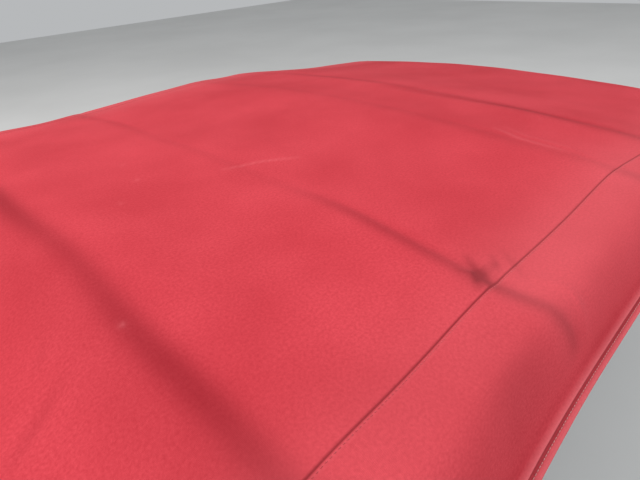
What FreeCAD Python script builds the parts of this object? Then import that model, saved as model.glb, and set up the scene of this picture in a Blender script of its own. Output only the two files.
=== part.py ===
import FreeCAD, Part
import math
import os
import Sketcher

# Folding cloth top of a two-seat open car: cover, bows, side rails and fold linkage, in millimetres.
# +X points to the front of the car, +Y to its left side and +Z up.
# The origin is the centre of the four body bolts, on the flat belt line where the brackets stand.

doc = FreeCAD.newDocument("FoldingTop")
sheet = doc.addObject("Spreadsheet::Sheet", "Sizes")

# Driving sizes: alias, value, what it is
SIZES = [
    ("bolt_spacing_x", 120, "body bolts, front to rear"),
    ("bolt_inset", 53, "body bolts in from the cloth at the belt line"),
    ("bolt_hole_radius", 4.5, "clearance hole for an M8 bolt"),
    ("bolt_edge", 18, "flange beyond the bolt centres"),
    ("flange_thickness", 6, "bracket flange"),
    ("flange_lip", 2, "bracket flange beyond the cloth at the belt line"),
    ("plate_thickness", 8, "upright plate of the bracket"),
    ("plate_toe", 8, "front end of the upright plate, above the flange"),
    ("plate_crest", 6, "upright plate above the balance link's pivot"),
    ("plate_heel", 7, "rear end of the upright plate, above and below the pillar's pivot"),
    ("plate_heel_x", 12, "rear end of the upright plate, behind the pillar's pivot"),
    ("layer_gap", 8, "between the upright plate and the links"),
    ("link_thickness", 14, "links, along the hinge pins"),
    ("link_width", 24, "links, across"),
    ("bow_layer_gap", 9.5, "between links, bow legs and rails"),
    ("rail_thickness", 15, "side rails, along the hinge pins"),
    ("rail_height", 24, "side rails, upright"),
    ("rail_inset", 20, "side rails inside the hem at the header"),
    ("pin_radius", 5, "hinge pins"),
    ("pin_end", 2, "lower hinge pins beyond the links"),
    ("boss_radius", 9, "bosses and spacers round the hinge pins"),
    ("cutter_over", 1, "hole cutters beyond the faces that they cut"),
    ("pin_clearance", 0.06, "radial play of a link on its pin"),
    ("eye_radius", 14, "round ends of the links"),
    ("lug_width", 20, "lug that carries the rear bow"),
    ("lug_eye_radius", 11, "round end of the rear bow's lug"),
    ("rail_lug_width", 22, "lug of the centre rail"),
    ("rail_lug_eye", 13, "round end of the centre rail's lug"),
    ("lap_clearance", 0.5, "between two lapped hinge eyes"),
    ("lap_eye_radius", 11, "lapped eyes of the roof hinge"),
    ("lap_margin", 3, "full rail starts this far beyond the lapped eyes"),
    ("pillar_foot_x", -100, "lower pivot of the main pillar"),
    ("pillar_foot_z", 10, "lower pivot of the main pillar"),
    ("link_offset_x", 65, "balance link ahead of the main pillar"),
    ("link_offset_z", 37, "balance link above the main pillar"),
    ("rail_pivot_x", 60, "upper pivot of the balance link, on the rail's centre line"),
    ("rail_pivot_z", 319, "upper pivot of the balance link, on the rail's centre line"),
    ("roof_hinge_x", 430, "hinge between centre and front rails"),
    ("rail_top_gap", 3, "rail tops below the roof hinge"),
    ("rail_front_drop", 35, "front rail falls by this to the header"),
    ("rail_front_x", 955, "front end of the straight front rail"),
    ("rear_bow_x", -100, "rear bow, at the crown"),
    ("middle_bow_x", 159, "middle bow"),
    ("crease_bow_x", 464, "second bow from the front"),
    ("front_bow_x", 618, "front bow"),
    ("header_front_x", 1055, "front edge of the roof"),
    ("window_top_x", -300, "break of the cloth above the rear window"),
    ("tack_rail_x", -630, "rear edge of the cloth at the deck"),
    ("window_top_crown_z", 360, "crown height over the rear window"),
    ("rear_crown_z", 426, "crown height at the rear bow"),
    ("middle_crown_z", 423, "crown height at the middle bow"),
    ("crease_crown_z", 434, "crown height at the second bow"),
    ("front_crown_z", 427, "crown height at the front bow"),
    ("header_crown_z", 380, "crown height at the front edge"),
    ("rear_half_width", 590, "hem half width at the rear bow"),
    ("window_top_taper", 4, "hem over the rear window, inside the rear bow's"),
    ("middle_taper", 24, "hem at the middle bow, inside the rear bow's"),
    ("crease_taper", 35, "hem at the second bow, inside the rear bow's"),
    ("front_taper", 28, "hem at the front bow, inside the rear bow's"),
    ("header_taper", 48, "hem at the front edge, inside the rear bow's"),
    ("crown_radius", 4470, "cross curve of the roof"),
    ("shoulder_inset", 49, "from the hem in to where the roof turns down"),
    ("hem_drop", 131, "hem below the crown"),
    ("cloth_thickness", 3, "lined cover cloth"),
    ("cloth_gap", 0.3, "between the cloth and what carries it"),
    ("belt_flare", 38, "cloth at the belt line, outside the hem of the rear bow"),
    ("belt_edge_z", 25, "lower edge of the cloth"),
    ("deck_corner", 200, "plan corner of the cloth at the deck"),
    ("quarter_top_x", 30, "front edge of the cloth quarter at the hem"),
    ("quarter_belt_x", -30, "front edge of the cloth quarter at the belt"),
    ("bow_width", 20, "flat bow bars, along the car"),
    ("bow_thickness", 12, "flat bow bars"),
    ("bow_corner_radius", 38, "bend of a bow into its leg"),
    ("bow_boss_radius", 8, "stub that carries a bow's foot"),
    ("bow_foot_radius", 25, "bend of a front bow's leg out to its rail"),
    ("rear_bow_ahead", 2, "top of the rear bow, ahead of the break in the cloth"),
    ("rear_bow_ease", 6, "rear bow below the break, for the cloth that falls behind it"),
    ("bow_plate_clearance", 6, "folded front bows inside the bracket plates"),
    ("rear_bow_foot_x", -150, "foot of the rear bow"),
    ("rear_bow_foot_z", 72, "foot of the rear bow"),
    ("header_depth", 100, "header, front to rear"),
    ("header_thickness", 18, "header"),
    ("corner_plate_height", 76, "upright plate from rail to header"),
    ("corner_plate_setback", 12, "upright plate behind the front edge, and its top chamfer"),
    ("corner_plate_toe", 14, "lower chamfer of the upright plate"),
    ("corner_plate_run", 40, "throat of the upright plate, along the rail"),
    ("corner_plate_rise", 3, "throat of the upright plate, above the rail"),
    ("seal_inset", 12, "from the hem in to the seal"),
    ("seal_width", 16, "rubber window seal"),
    ("seal_lift", 6, "seal's flat back above the hem"),
    ("seal_facets", 10, "facets round the seal's lip"),
    ("seal_seat_gap", 0.02, "between the seal's back and its carrier"),
    ("seal_rear_x", 95, "rear end of the centre seal"),
    ("seal_joint_gap", 14, "seals stop short of the roof hinge"),
    ("seal_front_x", 940, "front end of the front seal"),
    ("carrier_thickness", 4, "metal carrier of the seal"),
    ("tack_rail_height", 16, "rail that the cloth is clamped to"),
    ("tack_rail_width", 8, "rail that the cloth is clamped to"),
    ("tack_rail_inset", 2, "rail inside the cloth's lower edge"),
    ("window_half_width_top", 330, "clear rear window, upper edge"),
    ("window_half_width_low", 400, "clear rear window, lower edge"),
    ("window_low_x", -575, "clear rear window, lower edge"),
    ("window_high_x", -345, "clear rear window, upper edge"),
    ("window_corner", 45, "clear rear window, corners"),
    ("header_seal_radius", 7, "rubber strip under the header's front edge"),
    ("header_seal_setback", 3, "rubber strip behind the front edge"),
    ("header_seal_short", 20, "rubber strip short of the rails"),
    ("guide_pin_radius", 6, "header guide pins"),
    ("guide_pin_length", 24, "header guide pins"),
    ("guide_pin_from_rail", 257, "header guide pins, in from the rails"),
    ("guide_pin_inset", 30, "guide pins behind the front edge"),
    ("guide_pin_sides", 16, "flats round a guide pin"),
    ("latch_from_rail", 167, "header latches, in from the rails"),
    ("latch_length", 70, "latch base, front to rear"),
    ("latch_width", 44, "latch base"),
    ("latch_height", 12, "latch base"),
    ("latch_setback", 8, "latch base ahead of the header's rear edge"),
    ("latch_chamfer", 4, "lower edges of the latch base"),
    ("handle_length", 110, "latch handle"),
    ("handle_width", 22, "latch handle"),
    ("handle_height", 9, "latch handle"),
    ("handle_hollow", 4, "finger hollow under the latch handle"),
    ("handle_tip", 8, "thick tip of the latch handle, along it"),
    ("handle_cam", 34, "thick pivot end of the latch handle, along it"),
]

for row, (alias, value, note) in enumerate(SIZES, start=1):
    sheet.set(f"A{row}", alias)
    sheet.set(f"B{row}", str(value))
    sheet.set(f"C{row}", note)
    sheet.setAlias(f"B{row}", alias)
doc.recompute()


def size(alias):
    return float(sheet.get(alias))


def s(text):
    """An expression with each sheet alias in it spelled out as a cell of the sheet."""
    words = sorted((row[0] for row in SIZES), key=len, reverse=True)
    out = ""
    place = 0
    while place < len(text):
        word = next((w for w in words if text.startswith(w, place)), None)
        if word and not (place and (text[place - 1].isalnum() or text[place - 1] in "_.")):
            out += "Sizes." + word
            place += len(word)
        else:
            out += text[place]
            place += 1
    return out


def bind(thing, **expressions):
    for path, text in expressions.items():
        thing.setExpression(path.replace("__", "."), s(text))


# Layers along the hinge pins, from the rails inward to the bracket plates
RAIL_OUT = "(rear_half_width - header_taper - rail_inset)"
RAIL_IN = f"({RAIL_OUT} - rail_thickness)"
BOW_LEG = f"({RAIL_IN} - bow_layer_gap - bow_thickness / 2)"
LINK_OUT = f"({RAIL_IN} - 2 * bow_layer_gap - bow_thickness)"
LINK_IN = f"({LINK_OUT} - link_thickness)"
PLATE_OUT = f"({LINK_IN} - layer_gap)"
PLATE_IN = f"({PLATE_OUT} - plate_thickness)"
BELT = "(rear_half_width + belt_flare)"

# Pivots in side view, as pairs of expressions
PILLAR_FOOT = ("pillar_foot_x", "pillar_foot_z")
BALANCE_FOOT = ("(pillar_foot_x + link_offset_x)", "(pillar_foot_z + link_offset_z)")
BALANCE_TOP = ("rail_pivot_x", "rail_pivot_z")
PILLAR_TOP = ("(rail_pivot_x - link_offset_x)", "(rail_pivot_z - link_offset_z)")
ROOF_HINGE_Z = "(rail_pivot_z + rail_height / 2 + rail_top_gap)"
ROOF_HINGE = ("roof_hinge_x", ROOF_HINGE_Z)
REAR_BOW_FOOT = ("rear_bow_foot_x", "rear_bow_foot_z")


def value(text):
    """The number that a pure size expression has now."""
    total = doc.addObject("App::FeaturePython", "reading")
    total.addProperty("App::PropertyFloat", "result")
    total.setExpression("result", s(text))
    total.recompute()
    answer = total.result
    doc.removeObject(total.Name)
    return answer


def box(name, low, spans):
    """Upright box from the expressions of its low corner and its three sides."""
    thing = doc.addObject("Part::Box", name)
    bind(thing, Length=spans[0], Width=spans[1], Height=spans[2], Placement__Base__x=low[0],
         Placement__Base__y=low[1], Placement__Base__z=low[2])
    return thing


def pin(name, at, inner, outer, radius):
    """Round bar along Y, from one layer out to another."""
    thing = doc.addObject("Part::Cylinder", name)
    thing.Placement = FreeCAD.Placement(FreeCAD.Vector(), FreeCAD.Rotation(FreeCAD.Vector(1, 0, 0), -90))
    bind(thing, Radius=radius, Height=f"{outer} - {inner}", Placement__Base__x=at[0],
         Placement__Base__y=inner, Placement__Base__z=at[1])
    return thing


def bar(name, start, end, inner, thickness, width):
    """Flat bar in side view between two pivots."""
    thing = doc.addObject("Part::Box", name)
    thing.Placement = FreeCAD.Placement(FreeCAD.Vector(), FreeCAD.Rotation(FreeCAD.Vector(0, -1, 0), 10))
    rise = f"({end[1]} - {start[1]})"
    run = f"({end[0]} - {start[0]})"
    turn = f"atan2({rise}; {run})"
    bind(thing, Length=f"hypot({rise}; {run})", Width=thickness, Height=width,
         Placement__Rotation__Angle=turn,
         Placement__Base__x=f"{start[0]} + {width} / 2 * sin({turn})", Placement__Base__y=inner,
         Placement__Base__z=f"{start[1]} - {width} / 2 * cos({turn})")
    return thing


def fuse(name, things):
    whole = doc.addObject("Part::MultiFuse", name)
    whole.Shapes = things
    whole.Refine = True
    return whole


def cut(name, base, tool):
    rest = doc.addObject("Part::Cut", name)
    rest.Base = base
    rest.Tool = tool
    return rest


def profile(name, corners, outer, thickness):
    """Flat plate in side view: a sketch of straight sides, padded inward from its outer face."""
    body = doc.addObject("PartDesign::Body", name)
    plane = next(item for item in body.Origin.OriginFeatures if item.Role == "XZ_Plane")
    sketch = body.newObject("Sketcher::SketchObject", name + "_outline")
    sketch.AttachmentSupport = (plane, "")
    sketch.MapMode = "FlatFace"
    places = [(value(x), value(z)) for x, z in corners]
    count = len(corners)
    for index in range(count):
        start = FreeCAD.Vector(*places[index], 0)
        end = FreeCAD.Vector(*places[(index + 1) % count], 0)
        sketch.addGeometry(Part.LineSegment(start, end), False)
    for index in range(count):
        sketch.addConstraint(Sketcher.Constraint("Coincident", index, 2, (index + 1) % count, 1))
    for index, (x, z) in enumerate(corners):
        across = sketch.addConstraint(Sketcher.Constraint("DistanceX", -1, 1, index, 1, places[index][0]))
        sketch.setExpression(f"Constraints[{across}]", s(x))
        upward = sketch.addConstraint(Sketcher.Constraint("DistanceY", -1, 1, index, 1, places[index][1]))
        sketch.setExpression(f"Constraints[{upward}]", s(z))
    pad = body.newObject("PartDesign::Pad", name + "_pad")
    pad.Profile = sketch
    bind(pad, Length=thickness)
    bind(body, Placement__Base__y=outer)
    return body


parts = []


def keep(thing, label):
    thing.Label = label
    parts.append(thing)
    return thing


def keep_pair(thing, label):
    """The left piece and its mirror image on the right."""
    keep(thing, label + "_left")
    other = doc.addObject("Part::Mirroring", label + "_mirror")
    other.Source = thing
    other.Normal = (0, 1, 0)
    keep(other, label + "_right")


def shape_part(name, label, shape):
    thing = doc.addObject("Part::Feature", name)
    thing.Shape = shape
    return keep(thing, label)


# Brackets: flange with two body bolts, upright plate and the two lower hinge pins
flange_rear = "(-bolt_spacing_x / 2 - bolt_edge)"
upright = profile("bracket_plate", [
    ("-bolt_spacing_x / 2 - bolt_edge", "0"),
    ("bolt_spacing_x / 2 + bolt_edge", "0"),
    ("bolt_spacing_x / 2 + bolt_edge", "flange_thickness + plate_toe"),
    ("pillar_foot_x + link_offset_x + eye_radius", "pillar_foot_z + link_offset_z + plate_crest"),
    ("pillar_foot_x + link_offset_x - eye_radius", "pillar_foot_z + link_offset_z + plate_crest"),
    ("pillar_foot_x - plate_heel_x", "pillar_foot_z + plate_heel"),
    ("pillar_foot_x - plate_heel_x", "pillar_foot_z - plate_heel"),
], PLATE_OUT, "plate_thickness")
flange = box("bracket_flange", (flange_rear, PLATE_IN, "0"),
             ("bolt_spacing_x + 2 * bolt_edge", f"{BELT} + flange_lip - {PLATE_IN}", "flange_thickness"))
bracket_bits = [upright, flange]
for name, place in (("pillar", PILLAR_FOOT), ("balance", BALANCE_FOOT)):
    bracket_bits.append(pin(f"{name}_foot_disc", place, PLATE_IN, PLATE_OUT, "eye_radius"))
    bracket_bits.append(pin(f"{name}_foot_boss", place, PLATE_OUT, f"({LINK_IN} - lap_clearance)",
                            "boss_radius"))
    bracket_bits.append(pin(f"{name}_foot_pin", place, PLATE_OUT, f"({LINK_OUT} + pin_end)", "pin_radius"))
bracket_solid = fuse("bracket_solid", bracket_bits)
bolt_holes = []
for name, sign in (("rear", "-"), ("front", "")):
    hole = doc.addObject("Part::Cylinder", f"bolt_hole_{name}")
    bind(hole, Radius="bolt_hole_radius", Height="flange_thickness + 2 * cutter_over",
         Placement__Base__x=f"{sign}bolt_spacing_x / 2", Placement__Base__y=f"{BELT} - bolt_inset",
         Placement__Base__z="-cutter_over")
    bolt_holes.append(hole)
keep_pair(cut("bracket", bracket_solid, fuse("bolt_holes", bolt_holes)), "bracket")


def link(name, foot, top, extra):
    """Link with a hole for the bracket's pin below and its own hinge pin above, out to the rail."""
    bits = [
        bar(f"{name}_bar", foot, top, LINK_IN, "link_thickness", "link_width"),
        pin(f"{name}_low_eye", foot, LINK_IN, LINK_OUT, "eye_radius"),
        pin(f"{name}_top_eye", top, LINK_IN, LINK_OUT, "eye_radius"),
        pin(f"{name}_spacer", top, LINK_OUT, f"({RAIL_IN} - lap_clearance)", "boss_radius"),
        pin(f"{name}_top_pin", top, f"({LINK_OUT} - cutter_over)", RAIL_OUT, "pin_radius"),
    ]
    solid = fuse(f"{name}_solid", bits + extra)
    hole = pin(f"{name}_hole", foot, f"({LINK_IN} - cutter_over)", f"({LINK_OUT} + cutter_over)",
               "(pin_radius + pin_clearance)")
    return cut(name, solid, hole)


# Main pillars, each with the lug that carries the rear bow
lug = bar("pillar_lug", PILLAR_FOOT, REAR_BOW_FOOT, LINK_IN, "link_thickness", "lug_width")
lug_eye = pin("pillar_lug_eye", REAR_BOW_FOOT, LINK_IN, LINK_OUT, "lug_eye_radius")
keep_pair(link("main_pillar", PILLAR_FOOT, PILLAR_TOP, [lug, lug_eye]), "main_pillar")
keep_pair(link("balance_link", BALANCE_FOOT, BALANCE_TOP, []), "balance_link")

# Centre rails: straight bar, lug down to the main pillar, half of the lapped roof hinge
lap_in = f"({RAIL_IN} + rail_thickness / 2 - lap_clearance / 2)"
lap_out = f"({RAIL_IN} + rail_thickness / 2 + lap_clearance / 2)"
rail_low = "(rail_pivot_z - rail_height / 2)"
lap_back = "(roof_hinge_x - lap_eye_radius - lap_margin)"
lap_ahead = "(roof_hinge_x + lap_eye_radius + lap_margin)"
centre_bits = [
    box("centre_bar", ("rail_pivot_x", RAIL_IN, rail_low),
        (f"{lap_back} - rail_pivot_x", "rail_thickness", "rail_height")),
    box("centre_lap", (lap_back, RAIL_IN, rail_low),
        (f"roof_hinge_x - {lap_back}", f"{lap_in} - {RAIL_IN}", "rail_height")),
    pin("centre_lap_eye", ROOF_HINGE, RAIL_IN, lap_in, "lap_eye_radius"),
    pin("centre_hinge_pin", ROOF_HINGE, RAIL_IN, RAIL_OUT, "pin_radius"),
    pin("centre_rear_eye", BALANCE_TOP, RAIL_IN, RAIL_OUT, "(rail_height / 2)"),
    bar("centre_lug", PILLAR_TOP, BALANCE_TOP, RAIL_IN, "rail_thickness", "rail_lug_width"),
    pin("centre_low_eye", PILLAR_TOP, RAIL_IN, RAIL_OUT, "rail_lug_eye"),
]
centre_holes = [
    pin("centre_balance_hole", BALANCE_TOP, f"({RAIL_IN} - cutter_over)", f"({RAIL_OUT} + cutter_over)",
        "(pin_radius + pin_clearance)"),
    pin("centre_pillar_hole", PILLAR_TOP, f"({RAIL_IN} - cutter_over)", f"({RAIL_OUT} + cutter_over)",
        "(pin_radius + pin_clearance)"),
]
keep_pair(cut("centre_rail", fuse("centre_rail_solid", centre_bits), fuse("centre_rail_holes", centre_holes)),
          "centre_rail")

# Front rails: the other half of the hinge, a falling bar and the plate that carries the header
slope = "(rail_front_drop / (rail_front_x - roof_hinge_x))"
bar_top_start = "(rail_pivot_z + rail_height / 2)"
plate_front_x = "(header_front_x - corner_plate_setback)"
lap_fall = f"{slope} * (lap_eye_radius + lap_margin)"
front_plate = profile("front_bar", [
    (lap_ahead, f"{rail_low} - {lap_fall}"),
    ("rail_front_x", f"{rail_low} - rail_front_drop"),
    (plate_front_x, f"{rail_low} - rail_front_drop + corner_plate_toe"),
    (plate_front_x, f"{rail_low} - rail_front_drop + corner_plate_height - corner_plate_setback"),
    ("rail_front_x", f"{rail_low} - rail_front_drop + corner_plate_height"),
    ("rail_front_x - corner_plate_run", f"{bar_top_start} - rail_front_drop + corner_plate_rise"),
    (lap_ahead, f"{bar_top_start} - {lap_fall}"),
], RAIL_OUT, "rail_thickness")
front_lap = profile("front_lap", [
    ("roof_hinge_x", rail_low),
    (lap_ahead, f"{rail_low} - {lap_fall}"),
    (lap_ahead, f"{bar_top_start} - {lap_fall}"),
    ("roof_hinge_x", bar_top_start),
], RAIL_OUT, f"({RAIL_OUT} - {lap_out})")
front_eye = pin("front_lap_eye", ROOF_HINGE, lap_out, RAIL_OUT, "lap_eye_radius")
front_solid = fuse("front_rail_solid", [front_plate, front_lap, front_eye])
front_hole = pin("front_hinge_hole", ROOF_HINGE, f"({RAIL_IN} - cutter_over)", f"({RAIL_OUT} + cutter_over)",
                 "(pin_radius + pin_clearance)")
keep_pair(cut("front_rail", front_solid, front_hole), "front_rail")
doc.recompute()

# Numbers that the curved pieces share
CROWN_R = size("crown_radius")
CLOTH = size("cloth_thickness")
INSET = size("shoulder_inset")
DROP = size("hem_drop")
leg_y = value(BOW_LEG)
rail_in = value(RAIL_IN)
rail_out = value(RAIL_OUT)

widest = size("rear_half_width")
belt = value(BELT)
STATIONS = [
    (size("window_top_x"), size("window_top_crown_z"), widest - size("window_top_taper")),
    (size("rear_bow_x"), size("rear_crown_z"), widest),
    (size("middle_bow_x"), size("middle_crown_z"), widest - size("middle_taper")),
    (size("crease_bow_x"), size("crease_crown_z"), widest - size("crease_taper")),
    (size("front_bow_x"), size("front_crown_z"), widest - size("front_taper")),
    (size("header_front_x"), size("header_crown_z"), widest - size("header_taper")),
]


def roof_at(x):
    """Crown height and hem half width of the cloth at a place along the car."""
    for (x0, z0, w0), (x1, z1, w1) in zip(STATIONS, STATIONS[1:]):
        if x <= x1:
            share = (x - x0) / (x1 - x0)
            return z0 + (z1 - z0) * share, w0 + (w1 - w0) * share
    return STATIONS[-1][1:]


def section_points(crown, half, inset):
    """Ends and middles of the crown arc and of one side arc, moved in from the cloth's face by inset."""
    shoulder = half - INSET
    turn = math.asin(shoulder / CROWN_R)
    centre_z = crown - CROWN_R
    shoulder_z = centre_z + CROWN_R * math.cos(turn)
    inward = (-math.sin(turn), -math.cos(turn))
    reach = (half - shoulder, crown - DROP - shoulder_z)
    radius = (reach[0] ** 2 + reach[1] ** 2) / (2 * (reach[0] * inward[0] + reach[1] * inward[1]))
    side_y = shoulder + inward[0] * radius
    side_z = shoulder_z + inward[1] * radius
    small = radius - inset
    hem_angle = math.atan2(crown - DROP - side_z, half - side_y)
    start_angle = math.pi / 2 - turn
    middle = (hem_angle + start_angle) / 2
    big = CROWN_R - inset

    def on_side(angle):
        return side_y + small * math.cos(angle), side_z + small * math.sin(angle)

    return {
        "crown": (0.0, crown - inset),
        "shoulder": (big * math.sin(turn), centre_z + big * math.cos(turn)),
        "side": on_side(middle),
        "hem": on_side(hem_angle),
    }


def arc(a, b, c):
    return Part.Arc(FreeCAD.Vector(*a), FreeCAD.Vector(*b), FreeCAD.Vector(*c)).toShape()


def line(a, b):
    return Part.LineSegment(FreeCAD.Vector(*a), FreeCAD.Vector(*b)).toShape()


def face_edges(x, inset):
    """Left to right edges of the cloth's face at x: side arc, crown arc, side arc."""
    crown, half = roof_at(x)
    at = section_points(crown, half, inset)

    def place(name, sign):
        y, z = at[name]
        return (x, sign * y, z)

    return [
        arc(place("hem", 1), place("side", 1), place("shoulder", 1)),
        arc(place("shoulder", 1), place("crown", 1), place("shoulder", -1)),
        arc(place("shoulder", -1), place("side", -1), place("hem", -1)),
    ]


def closed(outer, inner):
    """One closed wire around the cloth's thickness."""
    outer_wire = Part.Wire(outer)
    inner_wire = Part.Wire(inner)
    start_out = outer[0].firstVertex(True).Point
    start_in = inner[0].firstVertex(True).Point
    end_out = outer[-1].lastVertex(True).Point
    end_in = inner[-1].lastVertex(True).Point
    edges = list(outer_wire.Edges)
    edges.append(Part.LineSegment(end_out, end_in).toShape())
    edges.extend(reversed(inner_wire.Edges))
    edges.append(Part.LineSegment(start_in, start_out).toShape())
    return Part.Wire(Part.__sortEdges__(edges))


def cloth_section(x):
    return closed(face_edges(x, 0), face_edges(x, CLOTH))


def cover(stations):
    return Part.makeLoft([cloth_section(x) for x in stations], True, True)


# Cloth covers of the roof, one for each zone between bows
shape_part("front_cover", "front_cover",
           cover([size("crease_bow_x"), size("front_bow_x"), size("header_front_x")]))
shape_part("middle_cover", "middle_cover", cover([size("middle_bow_x"), size("crease_bow_x")]))
shape_part("rear_top_cover", "rear_top_cover", cover([size("rear_bow_x"), size("middle_bow_x")]))


# Rear cloth: from the rear bow over the break above the window and down to the deck, with both sides
def deck_edges(inset, low, ends=None):
    """Outline of the deck in plan: round corners and a straight rear, and straight sides as far as ends."""
    wide = belt - inset
    rear = size("tack_rail_x") + inset
    corner = size("deck_corner") - inset
    cx = rear + corner
    cy = wide - corner
    far = corner * math.sqrt(0.5)
    edges = [
        arc((cx, wide, low), (cx - far, cy + far, low), (rear, cy, low)),
        line((rear, cy, low), (rear, -cy, low)),
        arc((rear, -cy, low), (cx - far, -cy - far, low), (cx, -wide, low)),
    ]
    if ends is not None:
        edges.insert(0, line((ends, wide, low), (cx, wide, low)))
        edges.append(line((cx, -wide, low), (ends, -wide, low)))
    return edges


def points_along(edges, steps):
    """Points along a chain of edges, each divided into its number of steps."""
    points = [edges[0].firstVertex(True).Point]
    for edge, count in zip(edges, steps):
        places = edge.discretize(Number=count + 1)
        if places[0].distanceToPoint(points[-1]) > places[-1].distanceToPoint(points[-1]):
            places.reverse()
        points.extend(places[1:])
    return points


def panel(faces, a, b, c, d):
    """Adds the two flat halves of a four-cornered panel, without one that has no area."""
    for corners in ((a, b, c), (a, c, d)):
        if min(corners[i].distanceToPoint(corners[i - 1]) for i in range(3)) > 0.001:
            faces.append(Part.Face(Part.makePolygon([*corners, corners[0]])))


def sewn(faces):
    shell = Part.makeShell(faces)
    shell.sewShape()
    solid = Part.makeSolid(shell)
    if solid.Volume < 0:
        solid.reverse()
    return solid.removeSplitter()


def faceted(outer, inner):
    """Solid of flat facets between two like grids of points."""
    faces = []
    last_row = len(outer) - 1
    last_column = len(outer[0]) - 1
    for grid in (outer, inner):
        for row, after in zip(grid, grid[1:]):
            for j in range(last_column):
                panel(faces, row[j], row[j + 1], after[j + 1], after[j])
    rim = [(0, j) for j in range(last_column)] + [(i, last_column) for i in range(last_row)]
    rim += [(last_row, j) for j in range(last_column, 0, -1)] + [(i, 0) for i in range(last_row, 0, -1)]
    for (i, j), (k, n) in zip(rim, rim[1:] + rim[:1]):
        panel(faces, outer[i][j], outer[k][n], inner[k][n], inner[i][j])
    return sewn(faces)


def faceted_run(rings):
    """Solid of flat facets through rings of corners, closed at both ends."""
    faces = [Part.Face(Part.makePolygon([*ring, ring[0]])) for ring in (rings[0], rings[-1])]
    for ring, after in zip(rings, rings[1:]):
        for j in range(len(ring)):
            panel(faces, ring[j - 1], ring[j], after[j], after[j - 1])
    return sewn(faces)


# The rear cloth's facets: along each side curve and across the crown
STEPS = (3, 8, 3)
belt_low = size("belt_edge_z")
rear_x = size("rear_bow_x")
top_x = size("window_top_x")
deck_corner_x = size("tack_rail_x") + size("deck_corner")


def belt_point(x, side, inset):
    return FreeCAD.Vector(x, side * (belt - inset), belt_low)


def rear_rows(inset):
    """Three rows of the rear cloth's face: at the rear bow, over the window and round the deck."""
    rows = []
    for x, low_x in ((rear_x, rear_x), (top_x, deck_corner_x)):
        across = points_along(face_edges(x, inset), STEPS)
        rows.append([belt_point(low_x, 1, inset), *across, belt_point(low_x, -1, inset)])
    deck = points_along(deck_edges(inset, belt_low), STEPS)
    rows.append([deck[0], *deck, deck[-1]])
    return rows


rear_cloth = faceted(rear_rows(0), rear_rows(CLOTH))


def window_prism():
    """Upright prism over the clear window."""
    high = (size("window_high_x"), size("window_half_width_top"))
    low = (size("window_low_x"), size("window_half_width_low"))
    corners = [high, low, (low[0], -low[1]), (high[0], -high[1]), high]
    wire = Part.makePolygon([FreeCAD.Vector(x, y, 0) for x, y in corners])
    prism = Part.Face(wire).extrude(FreeCAD.Vector(0, 0, size("window_top_crown_z")))
    uprights = [edge for edge in prism.Edges if abs(edge.tangentAt(edge.FirstParameter).z) > 0.99]
    return prism.makeFillet(size("window_corner"), uprights)


shape_part("rear_cover", "rear_cover", rear_cloth.cut(window_prism()))
shape_part("rear_window", "rear_window", rear_cloth.common(window_prism()))


# Cloth quarters ahead of the rear bow, behind the door window
def quarter(side):
    def rows(inset):
        edges = []
        for top, low in ((rear_x, rear_x), (size("quarter_top_x"), size("quarter_belt_x"))):
            crown, half = roof_at(top)
            y, z = section_points(crown, half, inset)["hem"]
            edges.append([FreeCAD.Vector(top, side * y, z - size("cloth_gap")), belt_point(low, side, inset)])
        return edges

    return faceted(rows(0), rows(CLOTH))


for side, sign in (("left", 1), ("right", -1)):
    shape_part(f"quarter_{side}", f"quarter_{side}", quarter(sign))


# Bows: flat bars bent to the cloth's cross curve, with a leg down to each side
def bow_outline(leg_y, height, reach, offset):
    """Edges of one face of the bar, from the left foot to the right, in the plane of the bow.

    The face lies offset outside the bar's middle. With a reach, each leg bends outward at its foot
    and ends at that distance from the middle; without one it ends square just below the foot."""
    bend = size("bow_corner_radius")
    radius = CROWN_R - CLOTH - size("cloth_gap") - size("bow_thickness") / 2
    centre = height - radius
    bend_y = leg_y - bend
    bend_z = centre + math.sqrt((radius - bend) ** 2 - bend_y ** 2)
    lean = math.atan2(bend_z - centre, bend_y)
    outer_bend = bend + offset
    outer_radius = radius + offset
    leg = leg_y + offset
    crown_y = outer_radius * math.cos(lean)
    crown_z = centre + outer_radius * math.sin(lean)
    half_y = bend_y + outer_bend * math.cos(lean / 2)
    half_z = bend_z + outer_bend * math.sin(lean / 2)
    if reach:
        foot_bend = size("bow_foot_radius")
        inner_bend = foot_bend - offset
        far = inner_bend * math.sqrt(0.5)
        foot_y = leg_y + foot_bend
        foot = [[(reach, offset), (foot_y, offset)],
                [(foot_y, offset), (foot_y - far, foot_bend - far), (leg, foot_bend)]]
        leg_low = foot_bend
    else:
        foot = []
        leg_low = -size("bow_width") / 2
    half = foot + [[(leg, leg_low), (leg, bend_z)],
                   [(leg, bend_z), (half_y, half_z), (crown_y, crown_z)]]
    crown = [[(crown_y, crown_z), (0.0, centre + outer_radius), (-crown_y, crown_z)]]
    other = [[(-y, z) for y, z in reversed(points)] for points in reversed(half)]
    edges = []
    for points in half + crown + other:
        places = [(0.0, y, z) for y, z in points]
        edges.append(line(*places) if len(places) == 2 else arc(*places))
    return edges


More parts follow.
